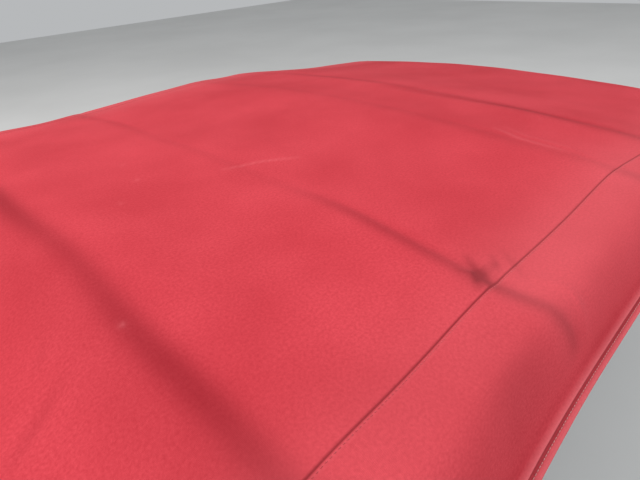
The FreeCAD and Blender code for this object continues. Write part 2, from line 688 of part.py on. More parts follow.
def bow_shape(foot, top_x, top_z, leg_y, reach=None):
    """Bar between two feet at (x, z), leaning so that its middle passes through its top."""
    foot_x, foot_z = foot
    half = size("bow_thickness") / 2
    height = math.hypot(top_x - foot_x, top_z - foot_z)
    outer = bow_outline(leg_y, height, reach, half)
    inner = bow_outline(leg_y, height, reach, -half)
    bar = Part.Face(closed(outer, inner)).extrude(FreeCAD.Vector(size("bow_width"), 0, 0))
    bar.translate(FreeCAD.Vector(-size("bow_width") / 2, 0, 0))
    lean = math.degrees(math.atan2(top_x - foot_x, top_z - foot_z))
    bar.Placement = FreeCAD.Placement(FreeCAD.Vector(foot_x, 0, foot_z),
                                      FreeCAD.Rotation(FreeCAD.Vector(0, 1, 0), lean)).multiply(bar.Placement)
    return bar


def bow_stubs(foot, leg_y, reach):
    """Short round stubs from both feet to the face of what carries them."""
    stubs = []
    for sign in (1, -1):
        start = FreeCAD.Vector(foot[0], sign * leg_y, foot[1])
        way = FreeCAD.Vector(0, sign * (reach - leg_y), 0)
        stubs.append(Part.makeCylinder(size("bow_boss_radius"), way.Length, start, way))
    return stubs


bar_drop = CLOTH + size("cloth_gap") + size("bow_thickness") / 2
rail_mid = size("rail_pivot_z")
front_slope = size("rail_front_drop") / (size("rail_front_x") - size("roof_hinge_x"))


def rail_mid_at(x):
    return rail_mid - front_slope * max(0.0, x - size("roof_hinge_x"))


rear_foot = (size("rear_bow_foot_x"), size("rear_bow_foot_z"))
rear_bar = bow_shape(rear_foot, size("rear_bow_x") + size("rear_bow_ahead"),
                     size("rear_crown_z") - bar_drop - size("rear_bow_ease"), leg_y)
shape_part("rear_bow", "rear_bow",
           rear_bar.fuse(bow_stubs(rear_foot, leg_y, value(LINK_OUT))).removeSplitter())


def bar_middle_at(x):
    """Height of a bar's middle whose flat top stays under the cloth on both sides of its break."""
    half = size("bow_width") / 2
    return min(roof_at(x - half)[0], roof_at(x)[0], roof_at(x + half)[0]) - bar_drop


middle_x = size("middle_bow_x")
middle_foot = (middle_x, rail_mid_at(middle_x))
middle_bar = bow_shape(middle_foot, middle_x, bar_middle_at(middle_x), leg_y)
shape_part("middle_bow", "middle_bow",
           middle_bar.fuse(bow_stubs(middle_foot, leg_y, rail_in)).removeSplitter())

# The two front bows hang inside the bracket plates when the top is folded, so their legs stand closer
front_leg_y = value(PLATE_IN) - size("bow_plate_clearance") - size("bow_thickness") / 2
for label, alias in (("crease_bow", "crease_bow_x"), ("front_bow", "front_bow_x")):
    x = size(alias)
    shape_part(label, label, bow_shape((x, rail_mid_at(x)), x, bar_middle_at(x), front_leg_y, rail_in))


# Header: curved cross member under the front edge of the cloth, between the front rails
def between_rails(shape, half):
    """The part of a cross member that lies within half of the middle."""
    span = FreeCAD.BoundBox(shape.BoundBox)
    room = Part.makeBox(span.XLength, 2 * half, span.ZLength, FreeCAD.Vector(span.XMin, -half, span.ZMin))
    return shape.common(room)


def cross_member(stations, inset, thickness, half):
    """Curved strip under the cloth through the stations, cut off at half of the middle."""
    rings = [closed(face_edges(x, inset), face_edges(x, inset + thickness)) for x in stations]
    return between_rails(Part.makeLoft(rings, True, True), half)


under_cloth = CLOTH + size("cloth_gap")
header_front = size("header_front_x")
header_rear = header_front - size("header_depth")
header_shape = cross_member([header_rear, header_front], under_cloth, size("header_thickness"), rail_in)
shape_part("header", "header", header_shape)

# Rubber under the header's front edge
seal_r = size("header_seal_radius")
seal_x = header_front - seal_r - size("header_seal_setback")
seal_shape = cross_member([seal_x - seal_r, seal_x + seal_r], under_cloth + size("header_thickness"),
                          2 * seal_r, rail_in - size("header_seal_short"))
shape_part("header_seal", "header_seal", seal_shape)


def header_under(x, y):
    return roof_at(x)[0] - CROWN_R + math.sqrt((CROWN_R - under_cloth - size("header_thickness")) ** 2 - y ** 2)


def extruded(corners, way):
    """Prism of a closed row of corners."""
    places = [FreeCAD.Vector(*corner) for corner in corners]
    return Part.Face(Part.makePolygon([*places, places[0]])).extrude(FreeCAD.Vector(*way))


# Guide pins under the header: flats round the stem and a blunt nose
pin_r = size("guide_pin_radius")
flats = int(size("guide_pin_sides"))
pin_x = header_front - size("guide_pin_inset")


def pin_ring(radius, y, z):
    turns = [2 * math.pi * i / flats for i in range(flats)]
    return [FreeCAD.Vector(pin_x + radius * math.cos(turn), y + radius * math.sin(turn), z) for turn in turns]


for side, sign in (("left", 1), ("right", -1)):
    y = sign * (rail_in - size("guide_pin_from_rail"))
    tip = header_under(pin_x, y) - size("guide_pin_length")
    top = tip + size("guide_pin_length") + size("header_thickness") / 2
    heights = ((pin_r / 2, tip), (pin_r, tip + pin_r / 2), (pin_r, top))
    stem = faceted_run([pin_ring(radius, y, z) for radius, z in heights])
    shape_part(f"guide_pin_{side}", f"guide_pin_{side}", stem.cut(header_shape).Solids[0])

# Header latches: a chamfered base and a handle with a finger hollow below it
latch_x = header_rear + size("latch_setback")
latch_long = size("latch_length")
latch_wide = size("latch_width")
chamfer = size("latch_chamfer")
handle_long = size("handle_length")
handle_wide = size("handle_width")
hollow = size("handle_hollow")
handle_tip = size("handle_tip")
for side, sign in (("left", 1), ("right", -1)):
    y = sign * (rail_in - size("latch_from_rail"))
    latch_top = header_under(latch_x + latch_long, y)
    low = latch_top - size("latch_height")
    front = latch_x + latch_long
    rings = []
    for x, below in ((latch_x, low + chamfer), (latch_x + chamfer, low), (front - chamfer, low),
                     (front, low + chamfer)):
        left, right = y + latch_wide / 2, y - latch_wide / 2
        tops = [(left, header_under(x, left)), (right, header_under(x, right))]
        rings.append([FreeCAD.Vector(x, across, z) for across, z in [*tops, (right, below), (left, below)]])
    shape_part(f"latch_base_{side}", f"latch_base_{side}", faceted_run(rings))
    pivot_end = front - size("latch_setback")
    grip_end = pivot_end - handle_long
    start = y - handle_wide / 2
    bottom = low - size("handle_height")
    handle = extruded([(grip_end, start, low), (grip_end, start, bottom + hollow / 2),
                       (grip_end + hollow / 2, start, bottom), (grip_end + handle_tip, start, bottom),
                       (grip_end + handle_tip + hollow, start, bottom + hollow),
                       (pivot_end - size("handle_cam") - hollow, start, bottom + hollow),
                       (pivot_end - size("handle_cam"), start, bottom), (pivot_end - hollow, start, bottom),
                       (pivot_end, start, bottom + hollow), (pivot_end, start, low)], (0, handle_wide, 0))
    shape_part(f"latch_handle_{side}", f"latch_handle_{side}", handle)


# Seal carriers and window seals along the rails
def hem_at(x):
    crown, half = roof_at(x)
    return crown - DROP, half


def carrier_section(x, sign):
    hem_z, half = hem_at(x)
    low = rail_mid_at(x) - size("rail_height") / 2
    thick = size("carrier_thickness")
    back = hem_z + size("seal_lift")
    outer = half - size("seal_inset")
    inner = outer - size("seal_width")
    points = [(rail_in, low), (rail_out, low), (inner, back + thick), (outer, back + thick),
              (outer, back), (inner, back), (rail_out, low - thick), (rail_in, low - thick)]
    return [FreeCAD.Vector(x, sign * y, z) for y, z in points]


def seal_section(x, sign):
    """Flat back against the carrier, and a round lip below it."""
    hem_z, half = hem_at(x)
    back = hem_z + size("seal_lift") - size("seal_seat_gap")
    radius = size("seal_width") / 2
    middle = half - size("seal_inset") - radius
    steps = int(size("seal_facets"))
    turns = [math.pi * i / steps for i in range(steps + 1)]
    points = [(middle + radius * math.cos(turn), back - radius * math.sin(turn)) for turn in turns]
    return [FreeCAD.Vector(x, sign * y, z) for y, z in points]


hinge_x = size("roof_hinge_x")
gap = size("seal_joint_gap")
RUNS = {
    "centre": [size("seal_rear_x"), size("middle_bow_x"), hinge_x - gap],
    "front": [hinge_x + gap, size("crease_bow_x"), size("front_bow_x"), size("seal_front_x")],
}
for zone, run in RUNS.items():
    for side, sign in (("left", 1), ("right", -1)):
        carrier = faceted_run([carrier_section(x, sign) for x in reversed(run)])
        shape_part(f"{zone}_carrier_{side}", f"{zone}_carrier_{side}", carrier)
        rubber = faceted_run([seal_section(x, sign) for x in run])
        shape_part(f"{zone}_seal_{side}", f"{zone}_seal_{side}", rubber)


# Tack rail: the strip along the deck that the cloth's lower edge is clamped to
rail_low_z = size("flange_thickness")
rail_ends = size("bolt_spacing_x") / 2
tack_inset = size("tack_rail_inset")
tack_wire = closed(deck_edges(tack_inset, rail_low_z, rail_ends),
                   deck_edges(tack_inset + size("tack_rail_width"), rail_low_z, rail_ends))
tack_shape = Part.Face(tack_wire).extrude(FreeCAD.Vector(0, 0, size("tack_rail_height")))
shape_part("tack_rail", "tack_rail", tack_shape)

doc.recompute()
for item in doc.Objects:
    if "Invalid" in item.State or "Error" in item.State:
        raise RuntimeError(f"{item.Name} is {item.State}")
for item in parts:
    if item.Shape.isNull() or not item.Shape.isValid():
        raise RuntimeError(f"{item.Label} has no valid shape")

os.makedirs("parts", exist_ok=True)
for item in parts:
    item.Shape.exportStep(f"parts/{item.Label}.step")
    print(item.Label, len(item.Shape.Solids), round(item.Shape.Volume / 1000, 1), "cm3")
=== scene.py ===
import math

import bpy
import numpy as np
from mathutils import Matrix, Vector


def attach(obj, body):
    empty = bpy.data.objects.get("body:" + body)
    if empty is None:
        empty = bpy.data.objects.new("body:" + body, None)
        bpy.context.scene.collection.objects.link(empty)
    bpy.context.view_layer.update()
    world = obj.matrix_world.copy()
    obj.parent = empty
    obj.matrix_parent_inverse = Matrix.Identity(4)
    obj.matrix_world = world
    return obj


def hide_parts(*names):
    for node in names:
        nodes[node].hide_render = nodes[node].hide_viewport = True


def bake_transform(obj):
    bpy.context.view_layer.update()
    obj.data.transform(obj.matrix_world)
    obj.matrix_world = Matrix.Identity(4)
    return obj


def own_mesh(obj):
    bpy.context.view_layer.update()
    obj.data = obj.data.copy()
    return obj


# Folding cloth top of a two-seat open car, in metres.
# +X points to the front of the car, +Y to its left side and +Z up; the origin is between the body bolts.

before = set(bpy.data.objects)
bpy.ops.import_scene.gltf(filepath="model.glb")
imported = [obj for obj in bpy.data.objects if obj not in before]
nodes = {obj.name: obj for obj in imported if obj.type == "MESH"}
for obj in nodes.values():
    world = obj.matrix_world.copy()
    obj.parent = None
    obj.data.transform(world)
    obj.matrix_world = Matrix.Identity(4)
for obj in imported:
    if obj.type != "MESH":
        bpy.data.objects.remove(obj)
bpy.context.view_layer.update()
scene = bpy.context.scene
LEFT_AND_RIGHT = (("left", 1), ("right", -1))

# Roof of the cloth: place along the car, crown height, half width at the hem
STATIONS = [
    ("window_top", -0.300, 0.360, 0.586),
    ("rear_bow", -0.100, 0.426, 0.590),
    ("middle_bow", 0.159, 0.423, 0.566),
    ("crease_bow", 0.464, 0.434, 0.555),
    ("front_bow", 0.618, 0.427, 0.562),
    ("header", 1.055, 0.380, 0.542),
]
PLACE = {row[0]: row[1] for row in STATIONS}
CROWN_RADIUS = 4.47
SHOULDER_INSET = 0.049
HEM_DROP = 0.114
HEADER_HEM_DROP = 0.122
CLOTH = 0.003
EASE = 0.085
HEM_FLARE = 0.013
FLARE_RISE = 0.034
FULLNESS_OUT = 0.0028
FULLNESS_UP = 0.0020
# Where along the car each of these changes: from, and over what length
FLARE_FADES = (0.50, 0.40)
HEM_DROP_GROWS = (0.55, 0.40)
FULLNESS_GROWS = (0.70, 0.25)
SEAM_DRIFTS = (0.07, 0.18)

# Columns across one half: 0 at the hem, SHOULDER where the roof turns down, CENTRE on the middle line
SHOULDER = 0.130
CENTRE = 0.661
SEAM = 0.1753
SEAM_DRIFT = 0.0019
SEAM_DRIFT_SPREAD = 0.035
CORNER_END = 0.200

# Lower edge of the cloth
BELT_HALF = 0.628
BELT_Z = 0.025
DECK_REAR = -0.630
DECK_CORNER = 0.200
QUARTER_TOP = 0.030
QUARTER_LOW = -0.030

# Clear rear window in plan
WINDOW_HIGH = (-0.345, 0.330)
WINDOW_LOW = (-0.575, 0.400)
WINDOW_CORNER = 0.045
OPENING_REACH = 0.001
AHEAD_OF_OPENING = -0.32


def smooth(t):
    t = np.clip(t, 0.0, 1.0)
    return t * t * (3 - 2 * t)


def rising(value, start, run):
    """0 up to start, then smoothly to 1 over run."""
    return smooth((value - start) / run)


def hump(distance, spread):
    return np.exp(-(distance / spread) ** 2)


def run_along(line):
    """Length along a line of places up to each of them."""
    return np.concatenate([[0], np.cumsum(np.linalg.norm(np.diff(line, axis=0), axis=1))])


def unit(vectors):
    return vectors / np.maximum(np.linalg.norm(vectors, axis=-1, keepdims=True), 1e-12)


def turns_round(count, start=0.0):
    return [start + 2 * math.pi * i / count for i in range(count)]


def closed_ring(line):
    return np.concatenate([line, line[:1]])


def line_distance(x, y, line):
    """How far each point is from a line of points in plan, and where along it from 0 to 1."""
    nearest = np.full(x.shape, 9.0)
    along = np.zeros(x.shape)
    runs = len(line) - 1
    for i in range(runs):
        (ax, ay), (bx, by) = line[i], line[i + 1]
        dx, dy = bx - ax, by - ay
        t = np.clip(((x - ax) * dx + (y - ay) * dy) / (dx * dx + dy * dy), 0, 1)
        distance = np.hypot(x - ax - t * dx, y - ay - t * dy)
        closer = distance < nearest
        nearest = np.where(closer, distance, nearest)
        along = np.where(closer, (i + t) / runs, along)
    return nearest, along


# Cross sections of the roof and plan of the lower edge


def eased(x, number):
    """A column of the stations at x, its corners at the bows rounded off."""
    places = np.array([row[1] for row in STATIONS])
    values = np.array([row[number] for row in STATIONS])
    reach = np.minimum(EASE, np.minimum(x - places[0], places[-1] - x))
    steps = np.linspace(-1, 1, 9)
    return sum((1 - abs(step)) * np.interp(x + step * reach, places, values) for step in steps) / 4


def roof_section(x, column):
    """Distance from the middle and height of the roof at column, on one side."""
    crown = eased(x, 2)
    half = eased(x, 3)
    drift = SEAM_DRIFT * (1 - 2 * rising(x, *SEAM_DRIFTS))
    column = column + drift * hump(column - SEAM, SEAM_DRIFT_SPREAD)
    shoulder = half - SHOULDER_INSET
    turn = np.arcsin(shoulder / CROWN_RADIUS)
    centre_z = crown - CROWN_RADIUS
    shoulder_z = centre_z + CROWN_RADIUS * np.cos(turn)
    hem_flare = HEM_FLARE * (1 - rising(x, *FLARE_FADES))
    side_reach = SHOULDER_INSET - hem_flare
    hem_drop = HEM_DROP + (HEADER_HEM_DROP - HEM_DROP) * rising(x, *HEM_DROP_GROWS)
    side_drop = shoulder_z - (crown - hem_drop) - side_reach * np.tan(turn)
    turns = np.linspace(0, math.pi / 2, 91)
    curve = np.stack([side_reach * np.sin(turns), side_drop * (1 - np.cos(turns))], axis=1)
    lengths = run_along(curve)
    down = 1 - np.clip(column / SHOULDER, 0, 1)
    side_turn = np.interp(down, lengths / lengths[-1], turns)
    side_out = side_reach * np.sin(side_turn)
    fullness = np.sin(2 * side_turn) * rising(x, *FULLNESS_GROWS)
    flare = hem_flare * np.clip(1 - column / FLARE_RISE, 0, 1) ** 1.7
    rise = np.clip((column - SHOULDER) / (CENTRE - SHOULDER), 0, 1)
    crown_y = shoulder * (1 - rise)
    crown_z = centre_z + np.sqrt(CROWN_RADIUS ** 2 - crown_y ** 2)
    on_side = column < SHOULDER
    side_z = shoulder_z - np.tan(turn) * side_out - side_drop * (1 - np.cos(side_turn))
    y = np.where(on_side, shoulder + side_out + flare + FULLNESS_OUT * fullness, crown_y)
    z = np.where(on_side, side_z + FULLNESS_UP * fullness, crown_z)
    return y, z


def deck_edge(column):
    """The cloth's lower edge in plan at column, on one side: round corner, then straight rear."""
    corner_y = BELT_HALF - DECK_CORNER
    angle = math.pi / 2 * (1 + np.clip(column / CORNER_END, 0, 1))
    rise = np.clip((column - CORNER_END) / (CENTRE - CORNER_END), 0, 1)
    in_corner = column < CORNER_END
    x = np.where(in_corner, DECK_REAR + DECK_CORNER + DECK_CORNER * np.cos(angle), DECK_REAR)
    y = np.where(in_corner, corner_y + DECK_CORNER * np.sin(angle), corner_y * (1 - rise))
    return x, y


# Rows from the deck over the rear window and along the roof, to each place in steps of about that length,
# and columns from hem to hem
REAR_ROWS = 44
ROW_STEPS = [
    (-0.140, 0.0055),
    (-0.100, 0.0030),
    (-0.060, 0.0030),
    (0.030, 0.0050),
    (0.130, 0.0050),
    (0.159, 0.0025),
    (0.205, 0.0025),
    (0.440, 0.0050),
    (0.464, 0.0030),
    (0.500, 0.0030),
    (0.590, 0.0050),
    (0.650, 0.0030),
    (1.040, 0.0060),
    (1.055, 0.0025),
]
HEM_COLUMNS = [0.0, 0.0015, 0.003, 0.0045, 0.006, 0.0075, 0.009, 0.0105, 0.012, 0.0135, 0.015, 0.017, 0.020,
               0.025]
SEAM_COLUMNS = [-0.0240, -0.0180, -0.0125, -0.0085, -0.0055, -0.0036, -0.0022, -0.0014, -0.0008, -0.0002,
                0.0004, 0.0010, 0.0020, 0.0040, 0.0080, 0.0140, 0.0200]
FRONT_WRAP = [(0.0022, 0.0006), (0.0040, 0.0030), (0.0046, 0.0080), (0.0044, 0.0150), (0.0036, 0.0215)]


def roof_rows():
    places = [PLACE["window_top"]]
    for end, step in ROW_STEPS:
        start = places[-1]
        count = max(1, round((end - start) / step))
        places.extend(start + (end - start) * (i + 1) / count for i in range(count))
    return np.array(places)


ROOF_X = roof_rows()
half_columns = np.array(
    HEM_COLUMNS
    + list(np.linspace(0.032, SHOULDER, 14))
    + [0.140, 0.147]
    + [SEAM + step for step in SEAM_COLUMNS]
    + list(np.linspace(SEAM + 0.0225, SEAM + 0.060, 16))
    + list(np.linspace(SEAM + 0.0655, CENTRE, 76))
)
MIDDLE = len(half_columns) - 1
COLUMNS = np.concatenate([half_columns, half_columns[-2::-1]])
SIDES = np.concatenate([np.full(MIDDLE, -1.0), [0.0], np.full(MIDDLE, 1.0)])
FIRST_ROOF = REAR_ROWS
LAST_ROOF = FIRST_ROOF + len(ROOF_X) - 1


def row_at(x):
    return FIRST_ROOF + int(np.argmin(np.abs(ROOF_X - x)))


def cloth_grid():
    rows = []
    top_y, top_z = roof_section(PLACE["window_top"], COLUMNS)
    low_x, low_y = deck_edge(COLUMNS)
    for i in range(REAR_ROWS):
        share = 1 - i / REAR_ROWS
        x = PLACE["window_top"] + (low_x - PLACE["window_top"]) * share
        y = top_y + (low_y - top_y) * share
        z = top_z + (BELT_Z - top_z) * share
        rows.append(np.stack([x, SIDES * y, z], axis=1))
    for x in ROOF_X:
        y, z = roof_section(x, COLUMNS)
        rows.append(np.stack([np.full(len(COLUMNS), x), SIDES * y, z], axis=1))
    front = rows[-1]
    across = np.gradient(front, axis=0)
    inward = unit(np.stack([np.zeros(len(front)), across[:, 2], -across[:, 1]], axis=1))
    for ahead, depth in FRONT_WRAP:
        rows.append(front + np.array([ahead, 0.0, 0.0]) + inward * depth)
    return np.array(rows)


def side_panel(grid, side):
    """Grid from the hem down to the belt, between the rear and the door window."""
    hem = grid[:, 0 if side < 0 else -1]
    first, last = hem[FIRST_ROOF], hem[row_at(QUARTER_TOP)]
    share = np.linspace(0, 1, REAR_ROWS + 1)[:, None]
    rows = []
    for row in range(FIRST_ROOF, row_at(QUARTER_TOP) + 1):
        along = (hem[row][0] - first[0]) / (last[0] - first[0])
        low_x = (DECK_REAR + DECK_CORNER) * (1 - along) + QUARTER_LOW * along
        low = np.array([low_x, side * BELT_HALF, BELT_Z])
        rows.append(hem[row] + (low - hem[row]) * share)
    return np.array(rows)


grid = cloth_grid()
panels = [side_panel(grid, side) for side in (-1, 1)]

# One sheet of joined points, so that every seam between the pieces has the same place and slope on both sides
tables = [grid] + panels
flat_places = np.concatenate([table.reshape(-1, 3) for table in tables])
rounded = np.round(flat_places * 1e6).astype(np.int64)
_, first_of, joined = np.unique(rounded, axis=0, return_index=True, return_inverse=True)
joined = joined.reshape(-1)
points = flat_places[first_of]
starts = np.cumsum([0] + [table.shape[0] * table.shape[1] for table in tables])
grid_ids, right_ids, left_ids = (
    joined[starts[i]:starts[i + 1]].reshape(tables[i].shape[:2]) for i in range(3)
)
PANEL_IDS = {-1: right_ids, 1: left_ids}


def cells(ids, flip=False):
    quads = np.stack([ids[:-1, :-1], ids[1:, :-1], ids[1:, 1:], ids[:-1, 1:]], axis=-1).reshape(-1, 4)
    return quads[:, ::-1] if flip else quads


def between_rows(first, last):
    return cells(grid_ids[first:last + 1])


def cell_edges(faces):
    return np.concatenate([faces[:, [i, (i + 1) % 4]] for i in range(4)])


def face_normals(places, faces):
    first, second, third, fourth = places[faces].transpose(1, 0, 2)
    return np.cross(third - first, fourth - second)


panel_cells = np.concatenate([cells(right_ids, True), cells(left_ids)])
quads = np.concatenate([cells(grid_ids), panel_cells])
edges, edge_use = np.unique(np.sort(cell_edges(quads), axis=1), axis=0, return_counts=True)
on_rim = np.zeros(len(points), bool)
on_rim[edges[edge_use == 1].reshape(-1)] = True


def summed(count, index, values):
    return np.stack([np.bincount(index, values[:, i], count) for i in range(3)], axis=1)


def cloth_normals(places):
    face = face_normals(places, quads)
    return unit(sum(summed(len(places), quads[:, corner], face) for corner in range(4)))


def relaxed(places, strength, rounds):
    """Rounds the fold lines off: each point moves along its normal towards its neighbours' mean."""
    a, b = edges[:, 0], edges[:, 1]
    weight = 1 / np.maximum(np.linalg.norm(places[a] - places[b], axis=1), 0.004)
    both = np.concatenate([a, b])
    total_weight = np.bincount(both, np.concatenate([weight, weight]), len(places))
    for _ in range(rounds):
        pulls = np.concatenate([places[b] * weight[:, None], places[a] * weight[:, None]])
        mean = summed(len(places), both, pulls) / total_weight[:, None]
        normals = cloth_normals(places)
        push = np.sum((mean - places) * normals, axis=1)
        places = places + normals * (push * strength)[:, None]
    return places


GIVE = 0.9
GIVE_ROUNDS = 110
GIVES_BEHIND_BOW = (0.02, 0.06)
GIVES_BEHIND_DOOR = 0.05
QUARTER_HEM_Y = 0.590
QUARTER_HEM_SPREAD = 0.06
QUARTER_HEM_TOP = 0.345


def give(places):
    """How far each point gives way: at the fold behind the rear bow and under the quarters' hem."""
    x, y, z = places.T
    behind_bow = rising(PLACE["rear_bow"] - x, *GIVES_BEHIND_BOW)
    near_hem = hump(np.abs(y) - QUARTER_HEM_Y, QUARTER_HEM_SPREAD) * (z < QUARTER_HEM_TOP)
    quarter = smooth((QUARTER_TOP - x) / GIVES_BEHIND_DOOR) * near_hem
    strength = GIVE * np.maximum(behind_bow, quarter)
    strength[on_rim] = 0
    return strength


points = relaxed(points, give(points), GIVE_ROUNDS)
normals = cloth_normals(points)

# Flat cloth coordinates and how strongly each effect shows at each point
cloth_u = np.zeros(len(points))
cloth_v = np.zeros(len(points))
column_of = np.full(len(points), CENTRE)
for side in (-1, 1):
    ids = PANEL_IDS[side]
    below_hem = np.array([run_along(row) for row in points[ids]])
    cloth_v[ids] = side * (CENTRE + below_hem)
    cloth_u[ids] = points[ids][..., 0]
    column_of[ids] = -below_hem
cloth_u[grid_ids] = run_along(points[grid_ids[:, MIDDLE]])[:, None]
cloth_v[grid_ids] = SIDES * (CENTRE - COLUMNS)
column_of[grid_ids] = COLUMNS[None, :]
is_roof = np.zeros(len(points), bool)
is_roof[grid_ids[FIRST_ROOF:LAST_ROOF + 1]] = True

# Bows under the cloth: place, ridge height, rear spread, front spread, dip ahead of it, share that shows
# mid-roof, how far the line leans ahead at the hem, painted shade ahead of it on the roof and on the side
RIDGES = [
    (-0.119, 0.0032, 0.070, 0.021, 0.0004, 1.00, 0.000, 0.50, 0.50),
    (0.143, 0.0020, 0.050, 0.015, 0.0012, 0.22, 0.024, 0.33, 0.50),
    (0.452, 0.0008, 0.050, 0.018, 0.0006, 0.60, 0.000, 0.15, 0.34),
    (0.600, 0.0013, 0.050, 0.020, 0.0005, 0.80, 0.000, 0.36, 0.36),
]
# Creases: points in plan, height, spread
CREASES = [
    ([(-0.165, -0.288), (-0.186, -0.299), (-0.206, -0.309), (-0.224, -0.318)], -0.0010, 0.0060),
    ([(-0.158, -0.236), (-0.173, -0.255)], -0.0006, 0.0050),
    ([(0.178, -0.434), (0.166, -0.454), (0.156, -0.474)], -0.0014, 0.0052),
    ([(0.142, -0.466), (0.160, -0.455), (0.188, -0.459)], -0.0012, 0.0044),
    ([(0.150, -0.441), (0.176, -0.470)], 0.0014, 0.0044),
    ([(0.215, -0.452), (0.190, -0.486)], -0.0012, 0.0040),
    ([(0.196, -0.498), (0.205, -0.530), (0.203, -0.548)], 0.0016, 0.0060),
    ([(0.492, -0.286), (0.477, -0.331), (0.478, -0.393), (0.463, -0.449)], 0.0007, 0.0050),
    ([(0.509, -0.290), (0.495, -0.335), (0.496, -0.393), (0.484, -0.440)], 0.0006, 0.0050),
    ([(0.591, 0.019), (0.593, -0.058), (0.602, -0.171), (0.616, -0.239), (0.625, -0.328), (0.634, -0.402),
      (0.623, -0.446)], -0.0009, 0.0090),
    ([(-0.235, 0.240), (-0.210, 0.300), (-0.196, 0.372)], -0.0009, 0.0080),
    ([(0.150, 0.430), (0.176, 0.470)], -0.0008, 0.0060),
    ([(0.700, -0.395), (0.800, -0.420), (0.930, -0.437)], 0.0006, 0.0130),
    ([(0.690, 0.402), (0.810, 0.424), (0.940, 0.433)], 0.0006, 0.0130),
]
# Painted shade where the cloth bunches beside the seam: points in plan, spread, strength
BUNCH_SHADES = [
    ([(0.178, -0.434), (0.167, -0.453), (0.154, -0.474)], 0.0046, 0.34),
    ([(0.142, -0.466), (0.160, -0.455), (0.188, -0.457)], 0.0042, 0.34),
    ([(0.150, -0.441), (0.172, -0.468)], 0.0040, 0.20),
    ([(0.198, -0.449), (0.181, -0.466)], 0.0034, 0.34),
    ([(0.156, -0.452), (0.164, -0.460)], 0.0150, 0.20),
]
# Rubbed and pale marks: points in plan, spread, strength
SCUFFS = [
    ([(0.139, -0.083), (0.189, -0.103), (0.233, -0.133)], 0.0028, 0.40),
    ([(0.057, 0.052), (0.059, 0.054)], 0.0030, 0.40),
    ([(0.043, -0.016), (0.045, -0.018)], 0.0030, 0.40),
    ([(-0.005, -0.070), (-0.003, -0.071)], 0.0030, 0.40),
    ([(-0.108, -0.284), (-0.106, -0.286)], 0.0030, 0.40),
    ([(0.492, -0.286), (0.477, -0.331), (0.478, -0.393)], 0.0036, 0.26),
    ([(0.509, -0.290), (0.495, -0.335), (0.496, -0.393)], 0.0030, 0.14),
]


# How deep the roof sags between the bows and behind the rear bow, and is hollow beside the middle bow
SAG = 0.0034
LEFT_SAG_EASE = 1.5
REAR_SAG = 0.0060
SIDE_HOLLOW = 0.0060
# Slow waves of the roof: height, then two waves as turns along, turns across and start
WAVES = [
    (0.0007, (17, 5, 0), (-3, 11, 0)),
    (0.0004, (41, -13, 1.3), (0, 29, 0.4)),
]
PLEAT_HEIGHT = 0.00018
CORNER_FOLD = 0.0016
# Bands of relief, painted shade and painted highlight: middle, spread, then height or strength. Those of the
# hem and the side are measured from the edge, those of the seam outward from its line, and the last two along
# the car.
HEM_FORM = [(0.0135, 0.0026, 0.0030), (0.0085, 0.0016, -0.0013), (0.0040, 0.0022, 0.0022)]
EDGE_BELOW_HEM = (-0.004, 0.0022, 0.0012)
# Painted shade in the hem's groove, along the hem and on the side
HEM_GROOVE_SHADE = (0.0088, 0.0015, 0.95)
HEM_SHADE = (0.024, 0.007, 0.16)
SIDE_SHADE = (0.045, 0.030, 0.10)
# Painted highlights on the hem's two ridges
HEM_RIDGE_HIGHLIGHTS = [(0.0135, 0.0034, 0.90), (0.0045, 0.0026, 0.60)]
SEAM_GROOVE = (0.0, 0.0009, 0.0009)
# Painted shade in the seam's groove, and a painted highlight on its outboard edge
SEAM_GROOVE_SHADE = (0.0, 0.0010, 1.0)
SEAM_EDGE_HIGHLIGHT = (0.0026, 0.0012, 0.20)
HOLLOW_SHADE = (0.090, 0.055, 0.22)
REAR_BOW_SHADE = (-0.135, 0.032, 0.16)
# How much shade is painted in the valley creases, for each metre of their depth
CREASE_SHADE = 200


def band(values, middle, spread, strength):
    return strength * hump(values - middle, spread)


